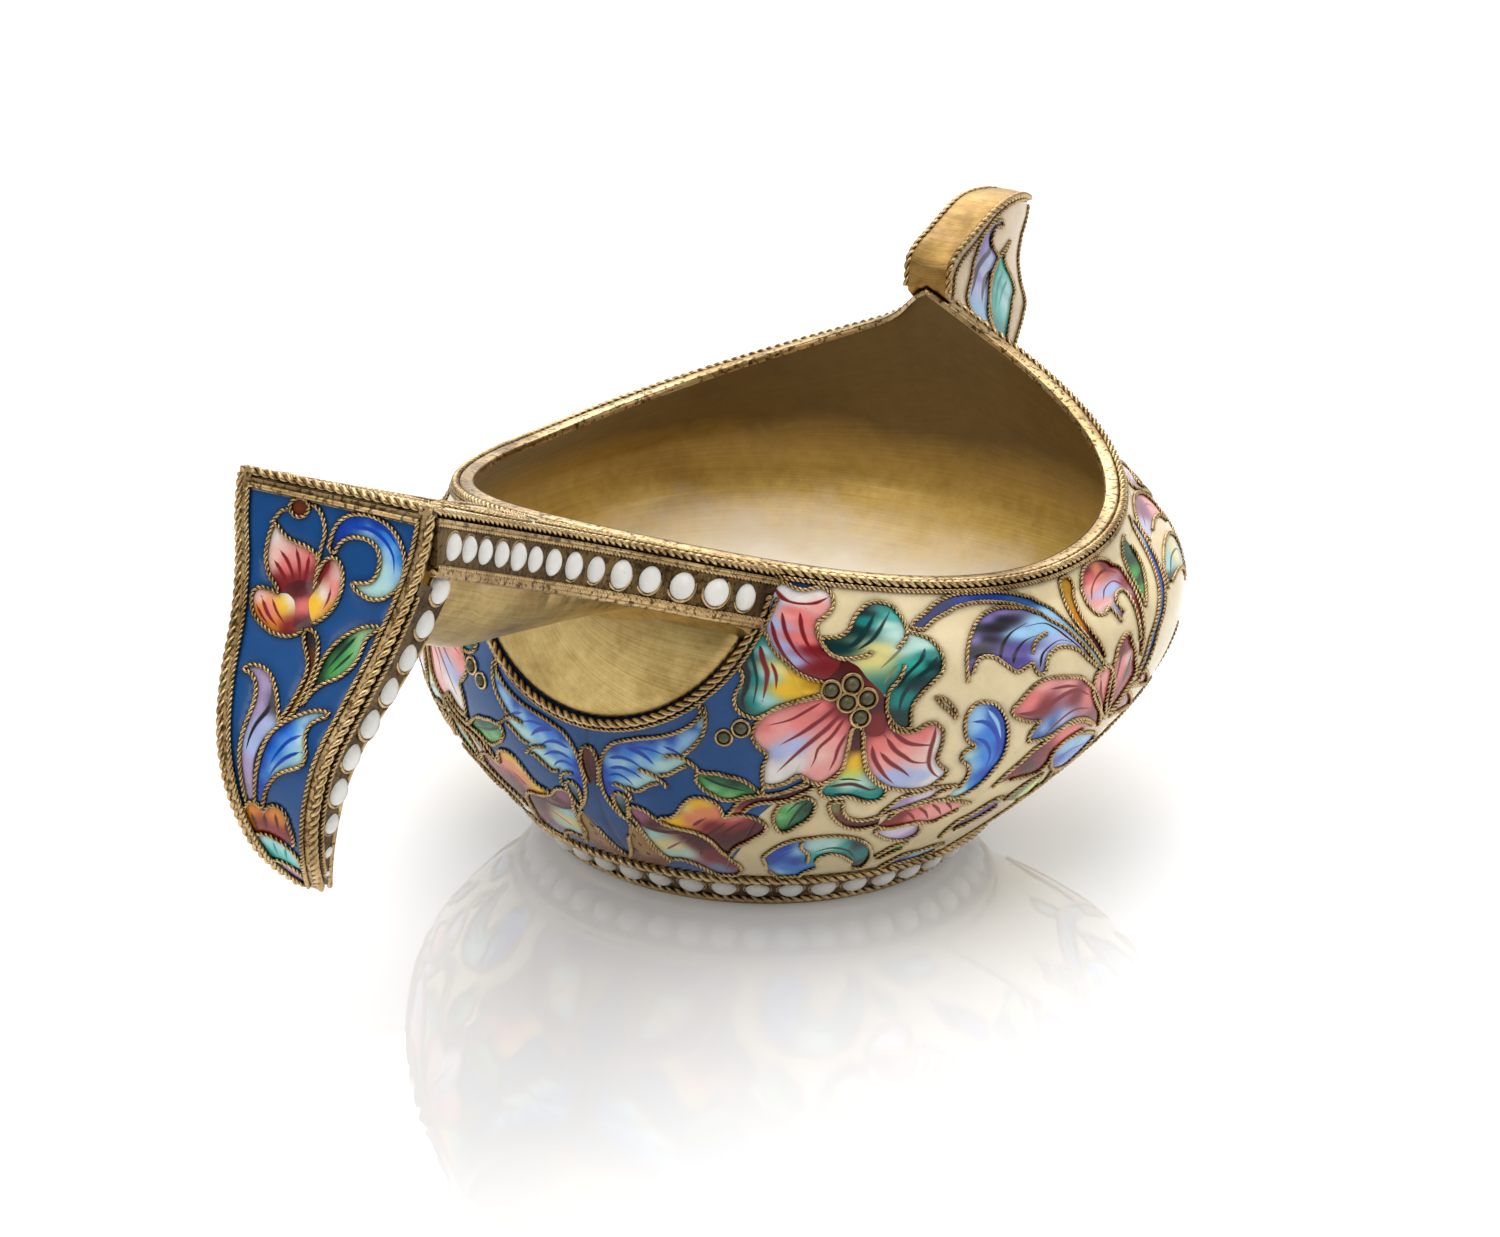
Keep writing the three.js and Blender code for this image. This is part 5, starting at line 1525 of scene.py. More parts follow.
        "lavender 57.6,39", "deepBlue 54,33", "steelBlue 50,24",
    ],
    "pinkLeafEdge": [
        "flat", "57.4,35.4 58.8,38.6 61.6,39.8 64.6,38.6 66.4,35.4 66.2,31.6 64.4,29.4",
        "64.4,29.4 63.8,32.4 62,34.4 59.6,35.2",
        "pearl 59.5,37", "mauve 62.5,37.4", "pink 65,34", "mauve 4 59.4,37 62,37.6 64.4,35.6 65,32.6",
    ],
    "cyanLeafEdge": [
        "flat", "52.6,26.2 54.4,29.8 57.6,31.6 60.8,30.8 62.6,27.6 62,23.6 59.4,21.4",
        "59.4,21.4 58.6,24 56.6,25.8 54,26.2",
        "paleCyan 56,29", "paleYellow 59,27.6", "greyBlue 61,25", "darkTeal 54,26.8",
        "darkTeal 5 54.4,27.6 57.4,29 60,27.4 60.8,24.4",
    ],
    "redPalmetteLeft": [
        "1103,718 1097,705 1093,692 1095,678 1100,670 1108,667 1113,673",
        "pink 1100,680", "rose 1100,700", "maroon 1104,712", "maroon 3 1101,678 1101,692 1104,708",
    ],
    "redPalmetteMiddle": [
        "1103,718 1106,700 1110,680 1115,660 1118,647 1127,633 1132,643 1135,660 1135,672 1126,688 "
        "1114,705",
        "maroon 1125,650 1112,705", "rose 1122,668", "palePink 1128,660", "maroon 1130,668",
        "wine 4 1126,643 1120,662 1113,690", "wine 3 1131,655 1124,678 1112,700",
    ],
    "redPalmetteRight": [
        "1108,716 1118,702 1128,688 1138,680 1143,670 1145,682 1140,694 1128,704",
        "pink 1138,680", "maroon 1118,708",
    ],
    "tulipUpper": [
        "1012,710 1020,702 1028,692 1038,683 1050,678 1063,677 1077,677 1087,682 1095,690 1099,702 "
        "1100,713 1098,725", "1093,723 1087,719 1078,719 1068,723 1057,732 1045,738 1035,741 1028,741",
        "1030,733 1037,725 1040,721", "1033,722 1023,720 1015,717",
        "pink 1045,685 1070,683", "rose 1030,700 1090,693", "maroon 1045,708 1075,698",
        "steelBlue 1050,725 1040,735", "lavender 1065,717 1045,728", "maroon 1096,715",
        "maroon 5 1018,714 1033,713 1048,706 1062,696 1076,690 1090,695",
        "maroon 3 1044,736 1058,722 1074,710 1090,708", "maroon 3 1050,690 1066,687 1080,686",
    ],
    "tulipLower": [
        "992,787 1007,773 1020,762 1033,750 1047,740 1058,730 1070,724 1080,721 1088,722 1092,725",
        "1083,729 1073,735 1063,742 1053,752 1048,762 1037,772 1023,777 1010,780",
        "maroon 1010,778 1040,758", "wine 1030,765", "rose 1070,730",
    ],
    "tulipBlue": [
        "1053,770 1050,765 1053,753 1063,742 1075,735 1087,732 1098,737 1093,745 1080,760 1067,767",
        "paleBlue 1085,738 1070,745", "deepBlue 1058,760 1075,760", "midBlue 1070,755",
        "deepBlue 3 1062,755 1074,748 1088,741",
    ],
    "tulipGreen": [
        "1003,800 1013,792 1027,782 1043,773", "1038,784 1028,793 1016,800",
        "darkGreen 1012,796", "lime 1034,785",
    ],
    "blueComma": [
        "983,702 992,703 1000,708 1006,718 1008,732 1007,745 1002,758 993,770 982,782 968,792 955,798 "
        "948,797", "958,788 965,780 969,770 967,764 962,761 962,755 967,750 973,748 975,745",
        "968,741 965,730 966,718 972,708 978,703",
        "deepBlue 1002,725 1003,745 985,775 995,712", "midBlue 990,735 985,757 975,785",
        "paleBlue 975,725 978,715 972,765", "aqua 968,755 960,792", "midBlue 980,742",
        "deepBlue 4 972,722 985,722 997,735 998,750 990,765", "deepBlue 3 975,738 985,742 990,755 985,768",
        "paleBlue 3 988,710 997,722 1001,738",
    ],
    "creamChip": ["936,697 943,698 950,703 956,713 957,719 950,712 942,705", "paleCream 948,706"],
    "hookStem": [
        "830,803 830,812 835,820 843,826 855,829 867,828 878,825", "bare 880,820",
        "881,815 872,818 860,820 849,818 843,811 843,801",
        "olive 836,806", "brown 840,820", "wine 860,825 875,822",
    ],
    "budTop": [
        "880,815 883,811 891,805 900,798 911,794 923,791 936,787 947,786 957,785",
        "945,790 939,792 931,798 922,801 911,805 900,809 889,812",
        "lilac 890,808 905,800", "paleLilac 920,796 940,789",
    ],
    "budMiddle": [
        "888,818 900,809 914,806 927,802 941,800 958,801 970,803",
        "958,809 942,817 930,822 917,822 903,825 889,828 877,827",
        "maroon 888,822 900,817", "pink 930,811 950,806", "rose 915,814",
        "maroon 3 905,811 912,816 915,821", "maroon 3 918,807 925,812 928,819",
        "maroon 3 932,804 938,809 941,815", "maroon 3 946,802 950,806 952,810",
    ],
    "budLower": [
        "877,829 889,828 903,825 916,823 920,826 916,834 905,839 892,840 881,837 875,832",
        "paleLilac 885,833 905,830", "lilac 910,833",
    ],
    "scroll": [
        "766,865 763,857 770,851 780,845 794,840 810,838 827,836 841,836 855,838 866,843 871,853 867,862 "
        "861,867 852,868", "851,862 847,859 839,855 827,854 819,857 815,862", "bare 816,866",
        "815,868 808,870 799,875 788,877 777,876 769,871", "wire 802,842 801,848 808,854 807,862",
        "deepBlue 775,858 785,848 795,862", "midBlue 785,868 800,868", "paleBlue 800,850 780,872",
        "mint 815,846 830,846", "turquoise 845,848 812,858", "teal 860,855", "darkTeal 860,864 855,845",
        "deepBlue 3 772,864 782,856 796,850", "darkTeal 3 815,852 830,848 846,850 856,860",
    ],
    "thinGreen": [
        "874,856 885,850 895,845 908,842", "902,848 889,853 877,859",
        "darkGreen 885,853", "green 900,846",
    ],
    "thinBlue": [
        "878,867 889,861 903,854 919,850 934,845 944,843", "934,850 919,856 903,861 889,865",
        "steelBlue 890,863", "paleBlue 925,850",
    ],
    "thinViolet": [
        "939,837 947,829 958,820 970,814 983,806 997,798 1003,797", "997,805 983,814 967,823 953,829",
        "black 955,826", "darkViolet 985,810",
    ],
    "lowStem": [
        "1052,770 1040,790 1022,808 1000,825 975,838 948,850", "bare 946,853",
        "953,853 980,843 1005,829 1027,811 1045,792 1056,773",
        "darkGreen 1035,800", "brown 985,836",
    ],
    "frontStem": [
        "flat", "48,11.6 53,8.2 59,6.8 65,8 70,11.6 73,15.4",
        "74,14.6 70.6,10.4 65.4,6.8 59,5.4 52.6,6.8 47.6,10.4",
        "deepBlue 50,9.6", "steelBlue 59,6.2", "paleBlue 71,12",
    ],
    "frontLeaf": [
        "flat", "60,7 61.4,10.6 60.4,14.6 57,17.4 55.6,13.6 56.6,9.8",
        "darkTeal 60,9", "teal 59,13", "paleYellow 57,15", "darkTeal 4 60,9 59.4,12 57.6,15.4",
        "darkTeal 3 58.4,9.6 57.6,12.6",
    ],
    "frontPetal": [
        "flat", "66.4,9 70.4,8 73,5.4 76.6,5.8 79.4,8.6 77.4,11.4 73.4,12.4 70,12",
        "maroon 69,10", "rose 73,9", "palePink 77,8.4", "maroon 4 69,10.4 73,9.4 77,9.6",
        "maroon 3 70,9 73.4,7.4 76.4,7.2",
    ],
    "frontScroll": [
        "flat", "60,20 62.6,24.4 67,26.6 70.4,24.8 71,21.4 68.6,19.4 66.4,20.8 67.4,22.8",
        "67.4,22.8 65,23.4 63.4,21.4 63,18.6", "bare 61.4,18",
        "violet 61.6,20.4", "lavender 65,25", "paleBlue 69.4,23", "lilac 68.6,20.6",
        "black 4 62,20.4 64,23.6 67.4,25 69.6,23",
    ],
}

# the near half of the wall that the picture does not show repeats the motifs it does show
hiddenRepeats = [
    # motifs, the flat place they turn about, where it goes, the turn in degrees and the size
    (
        [
            "leftPetal", "upperLeftPetal", "lowerLeftPetal", "lowerRightPetal", "smallLowerPetal",
            "twoLobedLeaf", "flowerCore",
        ],
        (19.5, 23.5), (79.6, 22.0), -18, 0.8,
    ),
    (["greenLeafLeft"], (10.0, 14.0), (66.0, 15.4), 70, 1.0),
    (["pinkScroll"], (43.5, 33.0), (72.2, 34.2), 8, 0.8),
    (["blueComma"], (30.0, 20.0), (86.4, 35.4), 100, 0.72),
    (["scroll"], (15.0, 7.0), (85.0, 5.2), 0, 0.8),
    (["scroll"], (15.0, 7.0), (54.0, 15.0), 35, 0.85),
    (["greenLeafLeft"], (10.0, 14.0), (50.6, 7.6), 8, 0.9),
    (["blueComma"], (30.0, 20.0), (72.6, 29.0), 70, 0.7),
    (["greenLeafLeft"], (10.0, 14.0), (62.0, 4.4), 8, 0.8),
]


def wallSurface(flat, height):
    # above the wall the sheet runs on to the ropes of the rim
    turn, rise = 0.5 + flat[:, 0] / wallSheetSize["perTurn"], flat[:, 1] / wallSheetSize["perRise"]
    low = wallAt(turn, np.minimum(rise, 1), height)
    lift = rimPoint(turn, *wallSheetSize["edge"]) - rimPoint(turn, wallOut, wallDrop)
    above = np.maximum(0, flat[:, 1] - wallSheetSize["perRise"]) / wallSheetSize["lip"]
    return low + lift * above[:, None]


def wallBorder():
    # half round the bowl, less the half-round panel under the handle
    wide, high = wallSheetSize["perTurn"] / 2, wallSheetSize["perRise"] + wallSheetSize["lip"]
    turn, rise = panelSpot(seatPanel["rope"] - 0.3, math.pi * (1.5 + 0.5 * np.linspace(0, 1, 60)))
    arc = np.stack([np.abs(turn - 0.5) * wallSheetSize["perTurn"], rise * wallSheetSize["perRise"]], -1)
    arc[0, 0] = 0.0
    # along the rim, down in front, back along the foot and up to the panel
    corners = [(arc[-1, 0], high), (wide, high), (wide, 0), (0, 0), (0, arc[0, 1])]
    lines = [arc, [corners[0]]]
    for (u, v), (nextU, nextV), count in zip(corners, corners[1:], (200, 90, 200, 30)):
        lines.append(np.stack([np.linspace(u, nextU, count), np.linspace(v, nextV, count)], -1)[1:])
    return np.vstack(lines)[:-1]


def drawnToMiddle(flat):
    # the picture's bud stands a little beside the middle; it and its leaf move over to it
    u = flat[:, 0]
    return np.stack([u + 3.5 * np.clip(1 - (u + 3.2) / 15, 0, 1.2) ** 2, flat[:, 1]], -1)


def turnedGroup(middle, goal, degrees, size):
    c, s = math.cos(math.radians(degrees)) * size, math.sin(math.radians(degrees)) * size

    def place(flat):
        # mirrored, turned and moved
        u, v = -(flat[:, 0] - middle[0]), flat[:, 1] - middle[1]
        return np.stack([goal[0] + c * u - s * v, goal[1] + s * u + c * v], -1)

    return place


# granules in the flower and beside it: a gilt ring round a dull green drop
granuleLook = {"wide": 1.0, "height": 0.5, "settingWire": 0.3, "settingGap": 0.22, "grow": 0.05, "seed": 5}


def makeGranules(side, word, sheet, rings):
    flat = np.array([place for place, _ in rings])
    # a full-sized granule measures 0.72 mm in the picture
    sizes = np.array([size / 0.72 for _, size in rings])
    points, over = (
        sheet["surface"](flat, np.full(len(flat), height)) * [1, side, 1] for height in (0.08, 1.08)
    )
    glass = (f"flower_granules_{word}", granuleEnamel, granuleLook, "gilt_wire")
    beadRow(f"granules_{word}", points, unit(over - points), sizes, *glass)


def makeWallEnamel():
    sheet = makeSheet(wallSurface, (-30.0, 0.0), (90.0, 40.0 + wallSheetSize["lip"]), 0.7)
    # the blue ground reaches to the big flower, the cream takes the rest
    divide = traced(sheet, spots(wallDivide.split()))
    blueLoop = np.vstack([[-1, 43], [divide[0][0], 43], divide, [divide[-1][0], -1], [-1, -1]])
    creamLoop = [[-1, -1], [91, -1], [91, 43], [-1, 43]]
    high = wallSheetSize["perRise"]
    # the cream ground is a little darker towards the foot
    levels = ((0.05, "lowCream"), (0.5, "cream"), (0.95, "cream"))
    creamTones = [(tone, (u, v * high)) for u in (15, 35, 55, 75) for v, tone in levels]
    blueTones = [("groundBlue", (u, v * high)) for u in (0, 12) for v in (0.1, 0.5)]
    cells = [groundCell(creamLoop, creamTones), groundCell(blueLoop, blueTones, "blue")]
    for motif in wallMotifs.values():
        cells.append(readMotif(sheet, motif, drawnToMiddle if "blue" in motif else None))
    for names, middle, goal, degrees, size in hiddenRepeats:
        place = turnedGroup(middle, goal, degrees, size)
        for name in names:
            cell = readMotif(sheet, wallMotifs[name], place)
            rings = cell["rings"][:5] if name == "flowerCore" else []
            cells.append({**cell, "home": "cream", "rings": rings})
    parts = enamelSheet(sheet, wallBorder(), cells, ["blue", "cream"])
    blue, cream = parts["blue"], parts["cream"]
    onPlane = lambda place: abs(place[0]) < 1e-6
    for name, sheets, slotName, node in (
        ("enamel_blue", [blue, mirroredPart(blue)], "blue_enamel", "blue_field"),
        ("enamel_cream_near", [cream], "cream_enamel", "cream_field_near"),
        ("enamel_cream_far", [mirroredPart(cream)], "cream_enamel", "cream_field_far"),
    ):
        settle(closedSheet(name, sheets, onPlane if len(sheets) > 1 else None), node)
    print("bowl enamel made")

    seated = []
    for wire in [wire for cell in cells for wire in cell["wires"]]:
        wire = wire[((wire > [-0.05, 0.1]) & (wire < [90.2, 41.4])).all(1)]
        if len(wire) > 2:
            seated.append(sheet["surface"](wire, np.full(len(wire), sheetLook["wireOut"])))
    rear = [path for path in seated if path[:, 0].mean() < 3]
    front = [path for path in seated if path[:, 0].mean() >= 3]
    twisted("cloisons_near_rear", rear, "cloison")
    twisted("cloisons_near_front", front, "cloison")
    twisted("cloisons_far", [path * [1, -1, 1] for path in seated], "farCloison")
    rings = [ring for cell in cells for ring in cell["rings"]]
    makeGranules(1, "near", sheet, rings)
    makeGranules(-1, "far", sheet, rings)


makeWallEnamel()
print("bowl wires made")


# the enamels of the terminal and the prow, read from the picture like the wall's

terminalMotifs = {
    "ring": [
        "310,507 307,514 300,517 293,514 290,507 293,500 300,497 307,500",
        "wire 289,509 282,510 277,516 272,522",
        "wire 313,504 319,509 323,517 325,526 325,536 322,546 320,556 317,566",
        "brown 300,507",
    ],
    "tulipTop": [
        "276,522 271,530 268,542 266,554 267,566 270,576 275,583 279,592", "bare 285,592 300,596",
        "315,588 316,580 318,570 319,560 315,553 308,547 299,543 290,539 282,532 277,524",
        "white 275,532", "palePink 283,546 272,560", "pink 297,554", "rose 288,566 306,560",
        "maroon 300,585 280,582 312,577 292,580", "maroon 3 280,550 287,560 292,572 296,586",
        "maroon 3 296,548 299,562 300,582", "maroon 3 309,555 307,570 303,586",
        "maroon 3 274,560 282,572 290,588",
    ],
    "tulipLeft": [
        "279,593 272,590 264,587 256,588 252,595 252,606 255,616 262,624 270,631 280,635 290,636 298,634 "
        "304,629", "bare 296,615 294,600 288,594",
        "palePink 258,595", "rose 268,612", "orange 257,612 270,628", "yellow 283,605", "white 290,600",
        "maroon 287,628 298,627", "maroon 3 262,598 268,614 277,626", "maroon 2 272,598 277,612 285,624",
        "maroon 2 256,604 262,616 268,624",
    ],
    "tulipRight": [
        "317,575 322,565 328,558 334,557 340,563 343,575 342,588 338,600 332,610 325,617 317,622 312,624",
        "bare 309,610 309,598 314,590 316,582",
        "maroon 323,568", "palePink 338,573", "rose 334,590", "yellow 315,602", "white 324,594",
        "orange 332,606", "maroon 5 330,560 322,575 318,587", "maroon 2 331,588 328,600 323,609",
    ],
    "tulipCore": [
        "bare 283,588 300,580 315,588 309,600 309,615 312,624 303,632 293,626 295,612 294,600 288,594",
        "wine 300,590 303,625", "rose 303,606",
    ],
    "stem": [
        "305,632 304,640 306,650 308,660 307,672 302,684 296,696 290,706 283,716 278,724",
        "288,718 295,710 301,700 307,688 312,676 316,664 318,652 318,640 315,632 309,629",
        "black 311,636", "brown 312,660 305,682", "ochre 298,700", "wine 285,716",
    ],
    "crescent": [
        "329,548 331,540 334,530 340,521 350,515 362,514 375,517 387,524 396,534 402,546 405,560 404,573 "
        "400,585 392,594 382,599 370,599 361,594 355,589 352,583",
        "352,583 360,583 368,583 374,579 378,572 380,562 379,552 374,544 366,539 356,537 346,539 339,545 "
        "335,554",
        "navy 330,547", "deepBlue 341,532 358,522 376,525", "midBlue 389,537 400,557",
        "paleBlue 368,535 388,555 396,578", "aqua 384,570 373,591 388,588 360,589",
        "deepBlue 3 352,528 368,529 384,540 393,556 394,574", "deepBlue 3 372,522 388,532 397,546",
    ],
    "greenLeaf": [
        "302,706 310,690 316,676 322,662 330,650 340,640 352,632 364,627 374,626 381,628",
        "381,628 375,633 368,637 364,645 360,655 354,665 346,673 336,679 325,683 316,689 308,697 302,706",
        "blackGreen 320,668 340,642 312,686", "green 352,652 334,672", "paleGreen 364,632 358,650",
        "blackGreen 3 357,636 342,652 328,668", "blackGreen 2 354,652 342,663 330,674",
    ],
    "violetLeaf": [
        "248,803 245,795 242,780 240,765 240,748 243,732 248,718 253,705 256,692 255,680 250,672 244,670",
        "244,668 250,665 258,665 266,669 272,677 276,690 278,705 279,720",
        "bare 268,736 258,756 255,775 254,800",
        "lilac 262,682 262,706", "lavender 265,722 252,745", "lilac 247,765 247,788", "black 274,706",
        "black 4 273,678 272,702 266,712 256,724 250,736 246,750",
        "black 5 276,727 264,742 257,757 254,775 253,796",
    ],
    "blueLeaf": [
        "256,803 255,790 256,775 259,760 264,745 272,732 282,724 292,718 302,714 312,711 322,711 329,713",
        "329,716 320,719 311,724 306,733 305,745 306,756 303,764 296,768 287,770 278,774 271,781 266,790 "
        "264,800 262,808",
        "deepBlue 267,745 262,765 259,785 284,727", "midBlue 276,755 290,735 268,775",
        "paleBlue 292,745 286,765 308,717", "aqua 301,740 299,758 276,772",
        "deepBlue 3 302,735 290,740 278,752 270,764", "deepBlue 3 300,752 287,757 276,766 269,776",
    ],
    "orangeFan": [
        "243,815 245,806 250,801 256,802 260,806 264,811",
        "266,808 271,805 277,806 283,811 287,818 290,827 293,836 294,846",
        "bare 285,842 270,836 257,833 250,828",
        "orange 250,807 272,810 285,819", "ochre 246,820", "maroon 262,825 283,836",
        "wine 4 251,812 258,828", "wine 4 264,814 267,830", "wine 3 275,813 279,832",
        "wine 3 285,822 289,838",
    ],
    "turquoiseFan": [
        "252,836 258,833 266,834 275,838 284,844 292,851 298,858 302,866",
        "bare 298,868 285,863 275,860 268,860 260,850",
        "paleCyan 259,838 285,847 296,860", "turquoise 266,852 286,860", "teal 2 262,842 270,856",
        "teal 2 273,842 279,857", "teal 2 285,848 287,860",
    ],
    "lavenderTip": [
        "268,860 276,859 284,862 294,868 303,876", "bare 306,884 295,880 280,872",
        "lilac 285,868",
    ],
}
prowMotifs = {
    "violetLeaf": [
        "1001,356 986,334 972,314 967,300 968,290 971,278 973,265 977,252 981,240 987,230 994,223 "
        "1000,220 1003,221", "1003,226 997,227 993,234 992,243 995,251 998,256",
        "998,256 992,272 989,292 990,312 994,334 1001,356",
        "violet 980,250 975,272 988,238", "lavender 985,275 978,290 991,262", "paleBlue 984,316",
        "steelBlue 994,338", "black 4 997,228 991,238 990,250 984,258 978,268 974,285 971,297",
        "black 5 993,270 987,277 983,290 982,303",
    ],
    "tealLeaf": [
        "1004,356 996,336 989,318 988,310 989,296 991,280 994,267 999,257 1004,250 1010,241",
        "1010,241 1006,250 1004,258 1006,267 1011,277 1014,288 1012,300 1010,316 1007,336 1004,356",
        "turquoise 996,300 1000,285 1002,265", "paleCyan 1008,290 1004,303", "teal 1000,334",
        "teal 2 1003,270 998,285 996,300 995,312", "teal 2 1007,280 1002,292 999,305",
        "teal 2 1000,262 995,278 992,295",
    ],
}
# the top of the handle is not seen: leaf scrolls in mm from the middle of its length
handleTopMotifs = {
    "heart": [
        "-15,0 -13.6,2.6 -10.6,3.6 -7.8,2.4 -6.2,0",
        "maroon -13.5,0.5", "rose -11,1.8", "palePink -8.2,1.2", "maroon 4 -14,0.6 -11.5,1.7 -8.6,1.5",
        "maroon 3 -13.6,1.3 -11.4,2.6 -9.4,2.4",
    ],
    "leaf": [
        "-6,0.4 -4.4,2.6 -1.2,4.0 2.2,3.4 3.4,1.6", "3.4,1.6 0.6,1.9 -2.2,1.5 -4.2,0.4",
        "deepBlue -4,1.6", "midBlue -1.5,3", "paleBlue 1.5,2.8", "deepBlue 3 -4.4,1.4 -1.4,2.5 1.8,2.6",
    ],
    "drop": [
        "0,0 2.4,1.1 5.6,1.0 7.4,0",
        "darkGreen 1.2,0.4", "paleGreen 5.4,0.4", "darkGreen 3 1,0.3 3.6,0.5 6,0.3",
    ],
    "scroll": [
        "5.2,1.9 8.2,2.6 10.6,5.0 13.8,6.6", "13.8,6.6 12.6,4.2 10.4,2.2 8.4,0.6",
        "violet 8,1.9", "lavender 11,4.4", "black 3 7.4,1.6 10,3.4 12.6,5.6",
    ],
    "bud": [
        "10.6,0 12.4,1.8 15,1.6 16.4,0",
        "ochre 11.6,0.6", "yellow 14.6,0.7", "maroon 3 11.6,0.6 13.6,1.0 15.4,0.4",
    ],
    "sweep": [
        "12.4,3 14.6,5.6 17.2,8 20,9.4", "20,9.4 18.6,6.8 16.4,4.4 14,2.6",
        "teal 14,3.6", "mint 18,7.4", "darkTeal 3 13.6,3.6 16,5.8 18.4,7.8",
    ],
    "tip": [
        "-17.4,3.2 -16.2,5.4 -13.8,6.2", "-13.8,6.2 -14.6,4.6 -16,3.4",
        "darkGreen -16.6,4", "paleGreen -14.4,5.6",
    ],
}


def makePanel(sheet, border, tones, motifs, sides, clip=None):
    # sides: the node that each copy stands for, and -1 where the copy is mirrored
    (left, low), (right, high) = border.min(0) - 1, border.max(0) + 1
    cells = [groundCell([(left, low), (right, low), (right, high), (left, high)], tones), *motifs]
    part = enamelSheet(sheet, border, cells, ["cream"], clip)["cream"]
    wires = [wire for cell in motifs for wire in cell["wires"] if len(wire) > 2]
    paths = [sheet["surface"](wire, np.full(len(wire), sheetLook["wireOut"])) for wire in wires]
    for node, side in sides:
        turned = mirroredPart(part) if side < 0 else part
        settle(closedSheet(node + "_fired", [turned]), node)
        twisted(node + "_cloisons", [path * [1, side, 1] for path in paths], "cloison")


def clearOfBowl(surface):
    return lambda places: depthIn(surface(places, np.zeros(len(places)))) < 0.35


terminalRun = np.linspace(0, 1, 500)
terminalLength = runOf(terminalPoint(terminalRun, 0, 0, 0, 1, 0 * terminalRun))


def terminalSurface(flat, height):
    share = np.interp(flat[:, 1], terminalLength, terminalRun)
    return terminalPoint(share, 0, 0.12 - height, 0, 1, flat[:, 0])


def makeTerminalEnamel():
    sheet = makeSheet(terminalSurface, (-8.4, 0.0), (8.4, 36.0), 0.6)
    shares = np.linspace(terminal["top"], 0.965, 150)
    half = terminalPoint(shares, 0, 0, 0, 1)[:, 1] - edgeInset - 0.02
    down = np.interp(shares, terminalRun, terminalLength)
    right = np.stack([half, down], -1)[half > 0.15]
    top = np.linspace(-right[0, 0], right[0, 0], 40)[1:-1]
    border = np.vstack([right, (right * [-1, 1])[::-1], np.stack([top, 0 * top + down[0]], -1)])[::-1]
    motifs = [readMotif(sheet, motif) for motif in terminalMotifs.values()]
    tones = [("groundBlue", (0, 5)), ("groundBlue", (0, 25))]
    makePanel(sheet, border, tones, motifs, [("terminal_enamel", 1)])


def prowSurface(flat, height):
    # up the horn, and across it from the inner face to the keel
    share = 0.97 * np.clip(flat[:, 1] / 30, 0, 1)
    across = np.clip(flat[:, 0] / 7, 0, 1)
    inner, keel = prowInner(share, 0.55), prowCurve("keel", share)
    reach = np.linalg.norm(keel - inner, axis=1)
    spot = inner + (keel - inner) * (across * np.maximum(0, 1 - 0.5 / reach))[:, None]
    wide = prow["keelWidth"] + np.maximum(0, 2 * prowHalf(share) - prow["keelWidth"]) * (1 - across**1.6)
    spot[:, 1] = -(wide / 2 + height - 0.1)
    return spot


def makeProwEnamel():
    sheet = makeSheet(prowSurface, (0.0, 0.0), (7.0, 30.0), 0.5)
    up, over = np.linspace(0, 30, 110), np.linspace(0, 7, 26)
    border = np.vstack([
        np.stack([over, 0 * over], -1), np.stack([0 * up + 7, up], -1)[1:],
        np.stack([over[::-1], 0 * over + 30], -1)[1:], np.stack([0 * up, up[::-1]], -1)[1:-1],
    ])
    outside = clearOfBowl(prowSurface)
    motifs = [readMotif(sheet, motif) for motif in prowMotifs.values()]
    # twisted wires run beside the inner face and along the keel
    rails = [np.stack([0 * up[3:] + across, up[3:]], -1) for across in (0.45, 6.75)]
    motifs.append({**groundCell([], []), "wires": [rail[outside(rail)] for rail in rails]})
    tones = [("prowCream", (3, 3)), ("prowCream", (3, 25))]
    makePanel(sheet, border, tones, motifs, [("prow_side_near", 1), ("prow_side_far", -1)], outside)


def handleTopSurface(flat, height):
    return np.stack([flat[:, 0], flat[:, 1], handleTop(flat[:, 0]) - 0.06 + height], -1)


def makeHandleTopEnamel():
    sheet = {"surface": handleTopSurface}
    shares = np.linspace(0, shareAtX(handleEnd + edgeInset), 160)
    edge = edgePoint(shares, edgeInset + 0.05, 0, 1)[:, :2]
    end = np.linspace(edge[-1, 1], -edge[-1, 1], 40)[1:-1]
    root = np.linspace(-edge[0, 1], edge[0, 1], 60)[1:-1]
    border = np.vstack([
        edge, np.stack([0 * end + edge[-1, 0], end], -1),
        (edge * [1, -1])[::-1], np.stack([0 * root + edge[0, 0], root], -1),
    ])
    middle = (handleRoot + handleEnd) / 2
    motifs = []
    for side in (1, -1):
        place = lambda flat: flat * [1, side] + [middle, 0]
        motifs += [readMotif(sheet, [*motif, "flat"], place) for motif in handleTopMotifs.values()]
    tones = [("cream", (middle, 0)), ("cream", (handleRoot, 0))]
    makePanel(sheet, border, tones, motifs, [("handle_top_enamel", 1)], clearOfBowl(handleTopSurface))


makeTerminalEnamel()
makeProwEnamel()
makeHandleTopEnamel()
print("enamel of the terminal, the prow and the handle made")

# plates of the model that stay as they are
for node in ("handle_top_plate", "terminal_front_plate", "terminal_rear_plate"):
    plate = bpy.data.objects[node]
    plate.data.materials.clear()
    plate.data.materials.append(brushedGilt)


# floor, light and the room

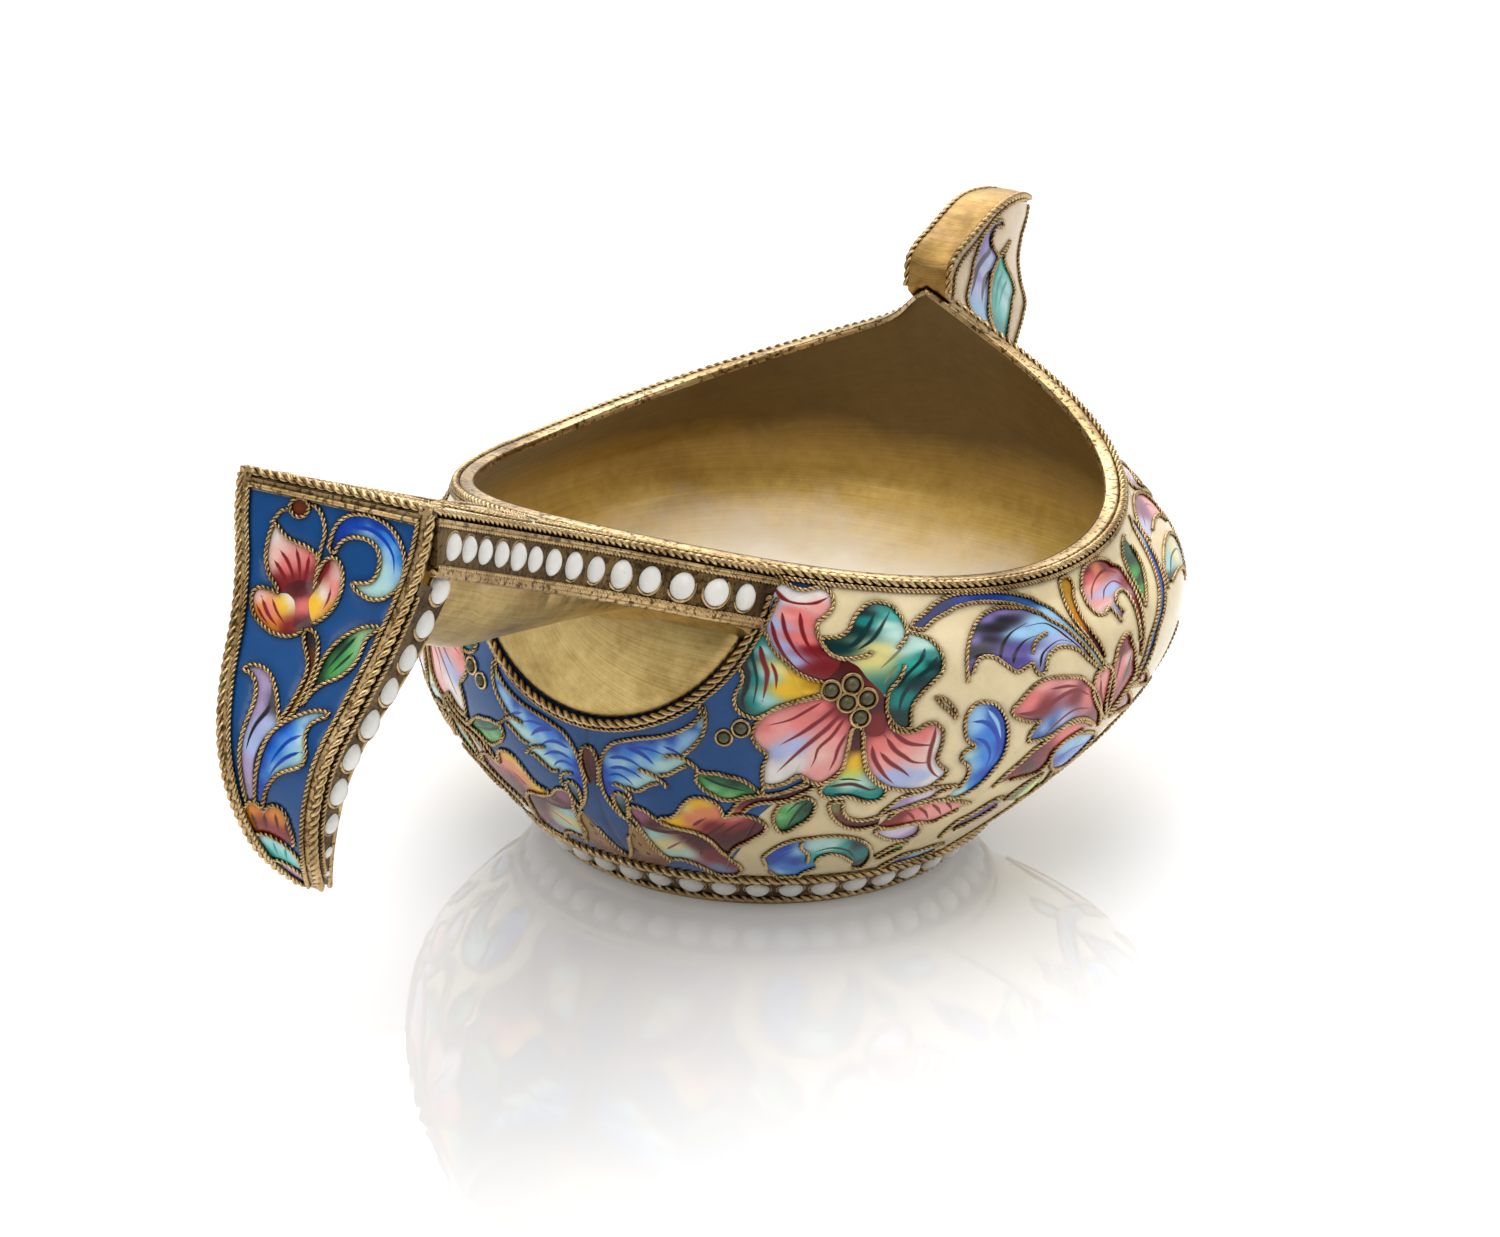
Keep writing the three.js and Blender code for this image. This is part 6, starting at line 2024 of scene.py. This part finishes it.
stageLook = {
    "floor": "#f4f4f4",
    "floorWide": 6.0,
    "floorDrop": 0.00002,
    "floorRough": 0.01,
    "floorMirror": 1.0,
    "floorGlow": 0.12,
    # brightness of the room above, behind the bowl, at the camera's side and round about
    "world": {"top": 0.62, "behind": 1.0, "front": 0.16, "around": 0.32},
    "lamps": [
        # name, place, aim, size, watts
        ("softbox_over", (-0.08, 0.02, 0.85), (0, 0, 0.02), 0.75, 3.9),
        ("softbox_behind", (0.52, 0.28, 0.56), (0, 0, 0.02), 0.5, 2.4),
        ("softbox_left", (-0.75, 0.15, 0.5), (0, 0, 0.03), 0.45, 1.5),
        ("softbox_right", (0.10, -0.75, 0.45), (0, 0, 0.03), 0.45, 1.2),
    ],
}


def makeFloor():
    # a polished white table
    mesh = bpy.data.meshes.new("floor")
    half = stageLook["floorWide"] / 2
    corners = [(-half, -half), (half, -half), (half, half), (-half, half)]
    mesh.from_pydata([(x, y, -stageLook["floorDrop"]) for x, y in corners], [], [(0, 1, 2, 3)])
    material, tree, shader = newMaterial("glossyTable")
    fillInputs(tree, shader, {
        "Base Color": colour(stageLook["floor"]),
        "Roughness": stageLook["floorRough"],
        "Specular IOR Level": stageLook["floorMirror"],
    })
    glow = addNode(tree, "ShaderNodeEmission", {"Color": (1, 1, 1, 1), "Strength": stageLook["floorGlow"]})
    rays = addNode(tree, "ShaderNodeLightPath").outputs
    values = {0: rays["Is Camera Ray"], 1: rays["Is Glossy Ray"]}
    seen = addNode(tree, "ShaderNodeMath", values, operation="MAXIMUM")
    both = addNode(tree, "ShaderNodeAddShader", {0: shader, 1: glow})
    mixed = addNode(tree, "ShaderNodeMixShader", {0: seen, 1: shader, 2: both})
    output = next(node for node in tree.nodes if node.type == "OUTPUT_MATERIAL")
    fillInputs(tree, output, {"Surface": mixed})
    mesh.materials.append(material)
    placed("floor", mesh)


def makeLamps():
    for name, place, aim, wide, watts in stageLook["lamps"]:
        lamp = bpy.data.lights.new(name, "AREA")
        lamp.energy, lamp.size, lamp.shape = watts, wide, "SQUARE"
        holder = placed(name, lamp)
        holder.location = place
        holder.rotation_euler = (Vector(aim) - Vector(place)).to_track_quat("-Z", "Y").to_euler()


def makeRoom():
    # bright above and behind the bowl, darker behind the camera
    world = bpy.data.worlds.new("room")
    world.use_nodes = True
    tree = world.node_tree
    tree.nodes.clear()
    levels = stageLook["world"]
    way = addNode(tree, "ShaderNodeTexCoord").outputs["Generated"]
    height = addNode(tree, "ShaderNodeSeparateXYZ", {0: way}).outputs[2]
    values = {0: way, 1: (0.88, 0.478, 0)}
    ahead = addNode(tree, "ShaderNodeVectorMath", values, operation="DOT_PRODUCT").outputs["Value"]
    strength = levels["around"]
    for value, low, high, goal in (
        (ahead, -0.2, -0.85, "front"),
        (height, 0.35, 0.9, "top"),
        (ahead, 0.55, 0.8, "behind"),
    ):
        values = {"Value": value, "From Min": low, "From Max": high}
        share = addNode(tree, "ShaderNodeMapRange", values, interpolation_type="SMOOTHSTEP")
        strength = addNode(tree, "ShaderNodeMix", {0: share, 2: strength, 3: levels[goal]})
    sky = addNode(tree, "ShaderNodeBackground", {"Color": (1, 1, 1, 1), "Strength": strength})
    addNode(tree, "ShaderNodeOutputWorld", {0: sky})
    scene.world = world


makeFloor()
makeLamps()
makeRoom()
scene.view_settings.view_transform = "Standard"
print("stage made")
